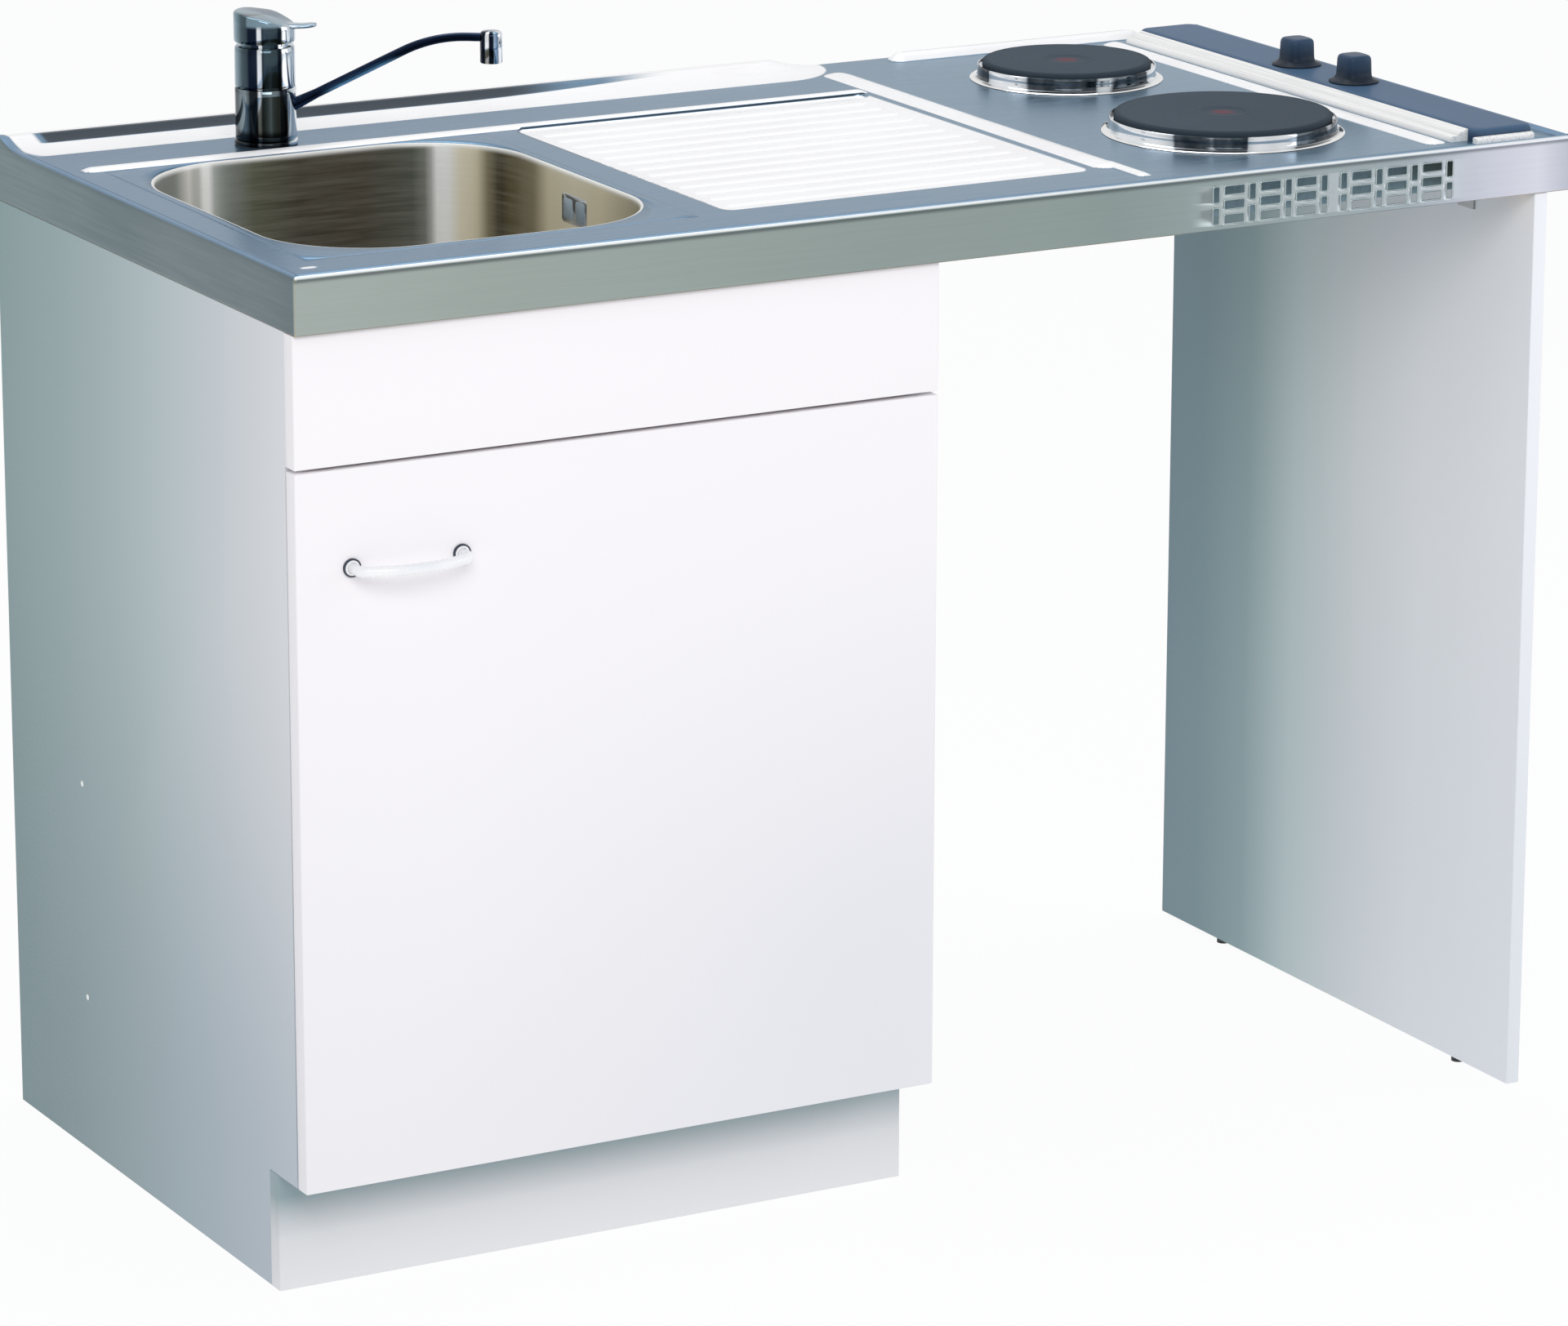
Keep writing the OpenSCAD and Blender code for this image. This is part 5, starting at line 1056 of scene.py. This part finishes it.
def make_knob(name, y, body, node):
    """Flared skirt and a block grip that narrows to a round-edged crown."""
    rings = []
    for half_x, half_y, z, power in (
            (22, 22, 0, 1), (22, 22, 0.9, 1), (21.2, 21.2, 1.5, 1), (18.6, 19.2, 2.9, 0.9),
            (15.6, 16.6, 4.4, 0.7), (14.2, 15.2, 6.2, 0.55), (13.7, 14.7, 10, 0.5), (13.3, 14.3, 19.4, 0.5),
            (12.9, 13.9, 21.6, 0.5), (12, 13, 23.1, 0.5), (10.4, 11.4, 23.9, 0.5), (6, 7, 24, 0.6),
            (0.05, 0.05, 24, 1)):
        share = 1 if power == 1 else 0.93
        ring = [(share * squared(c, power), share * squared(s, power)) for c, s in circle(1, 64)]
        rings.append([(KNOB_X + half_x * u, y + half_y * v, KNOB_Z + z) for u, v in ring])
    loft(name, rings, (True, False), body, KNOB, (node,), "console_plastic", 50)


make_console()
make_knob("front_switch_knob", KNOB_YS[0], "front_knob", "front_knob")
make_knob("rear_switch_knob", KNOB_YS[1], "rear_knob", "rear_knob")

# ---- tap, drawn in its own turned frame


def tap_piece(name, rings, body, nodes, caps=OPEN, material=TAP, reach=0, turns=None):
    """A chrome piece, moved out by reach; turns holds each point's share of a turn, for the finish's zones."""
    turns = turns or [(math.atan2(y, x) / (2 * math.pi) + 0.5) % 1 for ring in rings for x, y, z in ring]
    c, s = math.cos(TAP_TURN), math.sin(TAP_TURN)
    placed = [[(TAP_X + (x + reach) * c - y * s, TAP_Y + (x + reach) * s + y * c, z) for x, y, z in ring]
              for ring in rings]
    loft(name, placed, caps, body, material, nodes, "chrome", 45, {"turn": turns})


def make_tap():
    body = [(15.9, 795.2), (16, 796), (16, 851), (26.6, 851), (27, 851.6), (27, 853.6), (26.4, 854.6),
            (25.6, 855), (16.1, 855), (16, 899.5), (25, 899.6), (25.6, 900.2), (25.7, 902), (25.6, 930),
            (25.3, 933.2), (24.4, 934.4), (23, 934.6), (20.3, 934.7), (20.3, 937.4), (19.8, 937.8),
            (18.5, 937.8), (18.2, 934.6), (9.5, 934.6), (9.5, 925), (0.05, 925)]
    tap_piece("mixer_body", turned(body, 72), "cabinet", ("tap_body",), (True, False))
    collar = [(16.3, 855.4), (25.2, 855.4), (26, 856.2), (26, 860), (25.95, 876), (26, 894), (26, 898.4),
              (25.2, 899.2), (16.3, 899.2), (16.3, 855.4)]
    tap_piece("spout_collar", turned(collar, 72), "spout", ())
    make_spout()
    nose = [(7.9, 934), (7.9, 923.8), (9, 923.7), (9.5, 924.3), (9.5, 938), (9.45, 946.5), (9, 949.2),
            (7.6, 950.3), (4, 950.6), (0.05, 950.6)]
    tap_piece("spout_nose", turned([(0.05, 934), *nose], 48), "spout", (), OPEN, NOSE, SPOUT_REACH)


def make_spout():
    """A tube that rises from the collar, bends and runs level to the nose."""
    bend_x, bend, count = 118, 120, 32
    bend_z = SPOUT_TOP - bend * (1 - math.cos(SPOUT_SLOPE))
    path = [(x, bend_z - (bend_x - x) * math.tan(SPOUT_SLOPE)) for x in (20, 27, 34, 44, 60, 80, 100, bend_x)]
    for k in range(1, 13):
        angle = SPOUT_SLOPE * (1 - k / 12)
        path.append((bend_x + bend * (math.sin(SPOUT_SLOPE) - math.sin(angle)),
                     SPOUT_TOP - bend * (1 - math.cos(angle))))
    path.append((187, SPOUT_TOP))
    radii = [SPOUT_R + 1.6 * smoothstep(46, 20, x) - 0.35 * smoothstep(90, 160, x) for x, z in path]
    rings = [[(x, y, z) for x, z, y in ring] for ring in swept(path, radii, count)]
    turns = [j / count for _ in rings for j in range(count)]
    tap_piece("spout_tube", rings, "spout", ("spout",), CLOSED, SPOUT, turns=turns)


def make_lever():
    """Cap that slopes down to the front and runs out into a flat blade with a round tip."""
    low, side, count = 938.1, 11, 96
    rings = turned([(23.2, low), (23.2, low + 10.5), (0.05, low + 10.5)], count)[::-1]
    rings += turned([(24.6, low), (25.5, low + 0.25), (25.95, low + 1.2), (26, low + 6), (26, low + side)], count)
    for share, r in ((0.86, 26), (0.94, 25.6), (0.985, 24.6), (1, 22.5), (1, 15), (1, 7), (1, 0.05)):
        rings.append([])
        for x, y in circle(r, count):
            top = 25.9 - 3.2 * smoothstep(-24, 0, x) - 9.3 * smoothstep(-4, 30, x)
            rings[-1].append((x, y, low + side + (top - side) * share))
    tap_piece("lever_cap", rings, "lever", ("lever",))
    blade = []
    for x, half, bottom, top in (
            (14, 9.2, 949, 953.6), (24, 8.6, 949.1, 953.2), (32, 8, 949.6, 953.2), (39, 7.4, 950.2, 953.8),
            (43, 5.2, 950.8, 954), (44.6, 2.2, 951.4, 953.8)):
        blade.append([(x, half * squared(c, 0.6), (bottom + top) / 2 + (top - bottom) / 2 * squared(s, 0.6))
                      for c, s in circle(1, 24)])
    tap_piece("lever_blade", blade, "lever", (), CLOSED)


make_tap()
make_lever()

# ---- boards, door and handle


def board(name, low, high, body, material, nodes, slot, edge):
    """A faced board with softened edges."""
    shape = bmesh.new()
    bmesh.ops.create_cube(shape, size=1)
    a, b = place(*low), place(*high)
    for vertex in shape.verts:
        vertex.co = Vector([a[i] if vertex.co[i] < 0 else b[i] for i in range(3)])
    bmesh.ops.bevel(shape, geom=shape.edges[:], offset=edge / 1000, segments=3, profile=0.5, affect="EDGES")
    bmesh.ops.recalc_face_normals(shape, faces=shape.faces)
    from_bmesh(name, shape, body, material, nodes, slot, 30)


def side_board(name, x0, x1, material, node):
    """A side cut out for the plinth below and for the apron above, with softened edges."""
    outline = [(76, 0), (598, 0), (598, CARCASS_TOP), (21, CARCASS_TOP), (21, APRON_FOOT), (23.5, APRON_FOOT),
               (23.5, PLINTH_H), (76, PLINTH_H)]
    shape = bmesh.new()
    near, far = ([shape.verts.new(place(x, y, z)) for y, z in outline] for x in (x0, x1))
    shape.faces.new(near)
    shape.faces.new(far[::-1])
    for i in range(len(outline)):
        k = (i + 1) % len(outline)
        shape.faces.new((near[k], near[i], far[i], far[k]))
    bmesh.ops.recalc_face_normals(shape, faces=shape.faces)
    bent = [e for e in shape.edges if abs(e.calc_face_angle(0)) > 0.5]
    bmesh.ops.bevel(shape, geom=bent, offset=0.0005, segments=2, profile=0.5, affect="EDGES")
    from_bmesh(name, shape, "cabinet", material, (node,), "white_board", 30)


side_board("left_side_board", 0.3, BOARD_T, SIDE, "side_panel_left")
side_board("right_side_board", CABINET_W - BOARD_T, CABINET_W, INNER, "side_panel_right")
board("apron_front", (0, FRONT_Y, APRON_FOOT), (CABINET_W, FRONT_Y + BOARD_T, 804.7), "cabinet", FRONT,
      ("apron",), "white_front", 0.9)
board("door_front", (0, FRONT_Y, PLINTH_H), (CABINET_W, FRONT_Y + BOARD_T, DOOR_TOP), "door", FRONT, ("door",),
      "white_front", 0.9)
board("plinth_front", (0, PLINTH_Y, 0), (CABINET_W, PLINTH_Y + BOARD_T, PLINTH_H), "cabinet", PLINTH,
      ("plinth_board",), "white_board", 0.5)
board("outer_end_board", (1162, 2, 4), (1175, 577, CARCASS_TOP), "cabinet", PANEL, ("end_panel",),
      "white_board", 0.8)


def make_handle():
    """Bow handle: two posts, tight bends and a long shallow bow of one rod."""
    bend, bow_angle, post = 9, math.radians(25), 10
    bow = (HANDLE_HALF - bend * (1 - math.sin(bow_angle))) / math.sin(bow_angle)
    out = post + bend * math.cos(bow_angle) + bow * (1 - math.cos(bow_angle))
    left = [(-HANDLE_HALF, -depth) for depth in (0, 3, 7, post)]
    for k in range(1, 9):
        angle = (math.pi / 2 - bow_angle) * k / 8
        left.append((-HANDLE_HALF + bend - bend * math.cos(angle), -post - bend * math.sin(angle)))
    for k in range(1, 12):
        angle = bow_angle * (1 - k / 12)
        left.append((-bow * math.sin(angle), -out + bow * (1 - math.cos(angle))))
    path = left + [(0, -out)] + [(-x, y) for x, y in left[::-1]]
    rings = [[(HANDLE_X + x, FRONT_Y + y, HANDLE_Z + z) for x, y, z in ring]
             for ring in swept(path, [HANDLE_R] * len(path), 24)]
    loft("bow_handle", rings, CLOSED, "door", HANDLE, ("handle",), "white_gloss", 60)


def make_rosettes():
    """A white cup round each post, and a dark ring round the cup as painted shade for the shadow gap."""
    cup = [(4.6, 0), (6.3, 0), (6.3, 1.9), (5.9, 2.3), (4.6, 2.4), (4.6, 0)]
    # The rim is painted shade for the shadow gap round the cup.
    rim = [(6.35, 0), (7.7, 0), (7.7, 1.5), (7.3, 2.3), (6.7, 2.4), (6.35, 2), (6.35, 0)]
    posts = (("left", HANDLE_X - HANDLE_HALF, ("handle_rosettes",)), ("right", HANDLE_X + HANDLE_HALF, ()))
    for mark, x, nodes in posts:
        for part, profile, finish, stands_for in (("cup", cup, HANDLE, nodes), ("rim", rim, ROSETTE_SHADOW_RING, ())):
            rings = [[(x + u, FRONT_Y - depth, HANDLE_Z + v) for u, v in circle(r, 40)] for r, depth in profile]
            loft("rosette_%s_%s" % (part, mark), rings, OPEN, "door", finish, stands_for, "white_gloss", 35)


make_handle()
make_rosettes()

# ---- small hardware

BACK, RIGHT, LEFT = (0, 1, 0), (1, 0, 0), (-1, 0, 0)
BRACKET_SPOTS = ((28, 23.4, BACK), (550, 23.4, BACK), (18.4, 33, RIGHT), (559.6, 33, LEFT))
screws("bracket_screws", "cabinet", [(x, y, z, facing) for x, y, facing in BRACKET_SPOTS for z in (733, 769)],
       3.4, 1.4)
screws("hinge_screws_door", "door", [(554, 22.2, z + h, BACK) for z in (160, 584) for h in (10, 40)], 2.6, 0.5)
screws("panel_plate_screws", "cabinet", [(1159.4, y + 12, z, LEFT) for y in (90, 450) for z in (785, 825)],
       3.6, 1.4)

# ---- CAD nodes that stay, by finish

KEPT = (
    (INNER, "bottom_panel rear_rail"), (HARDBOARD, "back_panel"), (BEECH, "carcass_dowels"),
    (PINE, "front_batten rear_batten cross_battens"), (TRAY_ZINC, "hob_tray hob_cover"), (RUBBER, "door_bumpers"),
    (WHITE_PLASTIC, "side_plugs waste_body catch_body"), (POLISHED, "waste_cup strainer_basket aerator"),
    (BLACK, "overflow_chamber cable_gland tap_seal panel_glides"), (CERAMIC, "terminal_blocks switch_bodies"),
    (BRASS, "front_shaft rear_shaft tap_nut lever_carrier"),
    (ZINC, "apron_brackets clamp_bars clamp_nuts handle_screws hinge_frame_leaves hinge_door_leaves hinge_pins "
           "catch_plate panel_plates"),
)
for finish, names in KEPT:
    for name in names.split():
        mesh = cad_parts[name].data
        mesh.materials.clear()
        mesh.materials.append(finish)
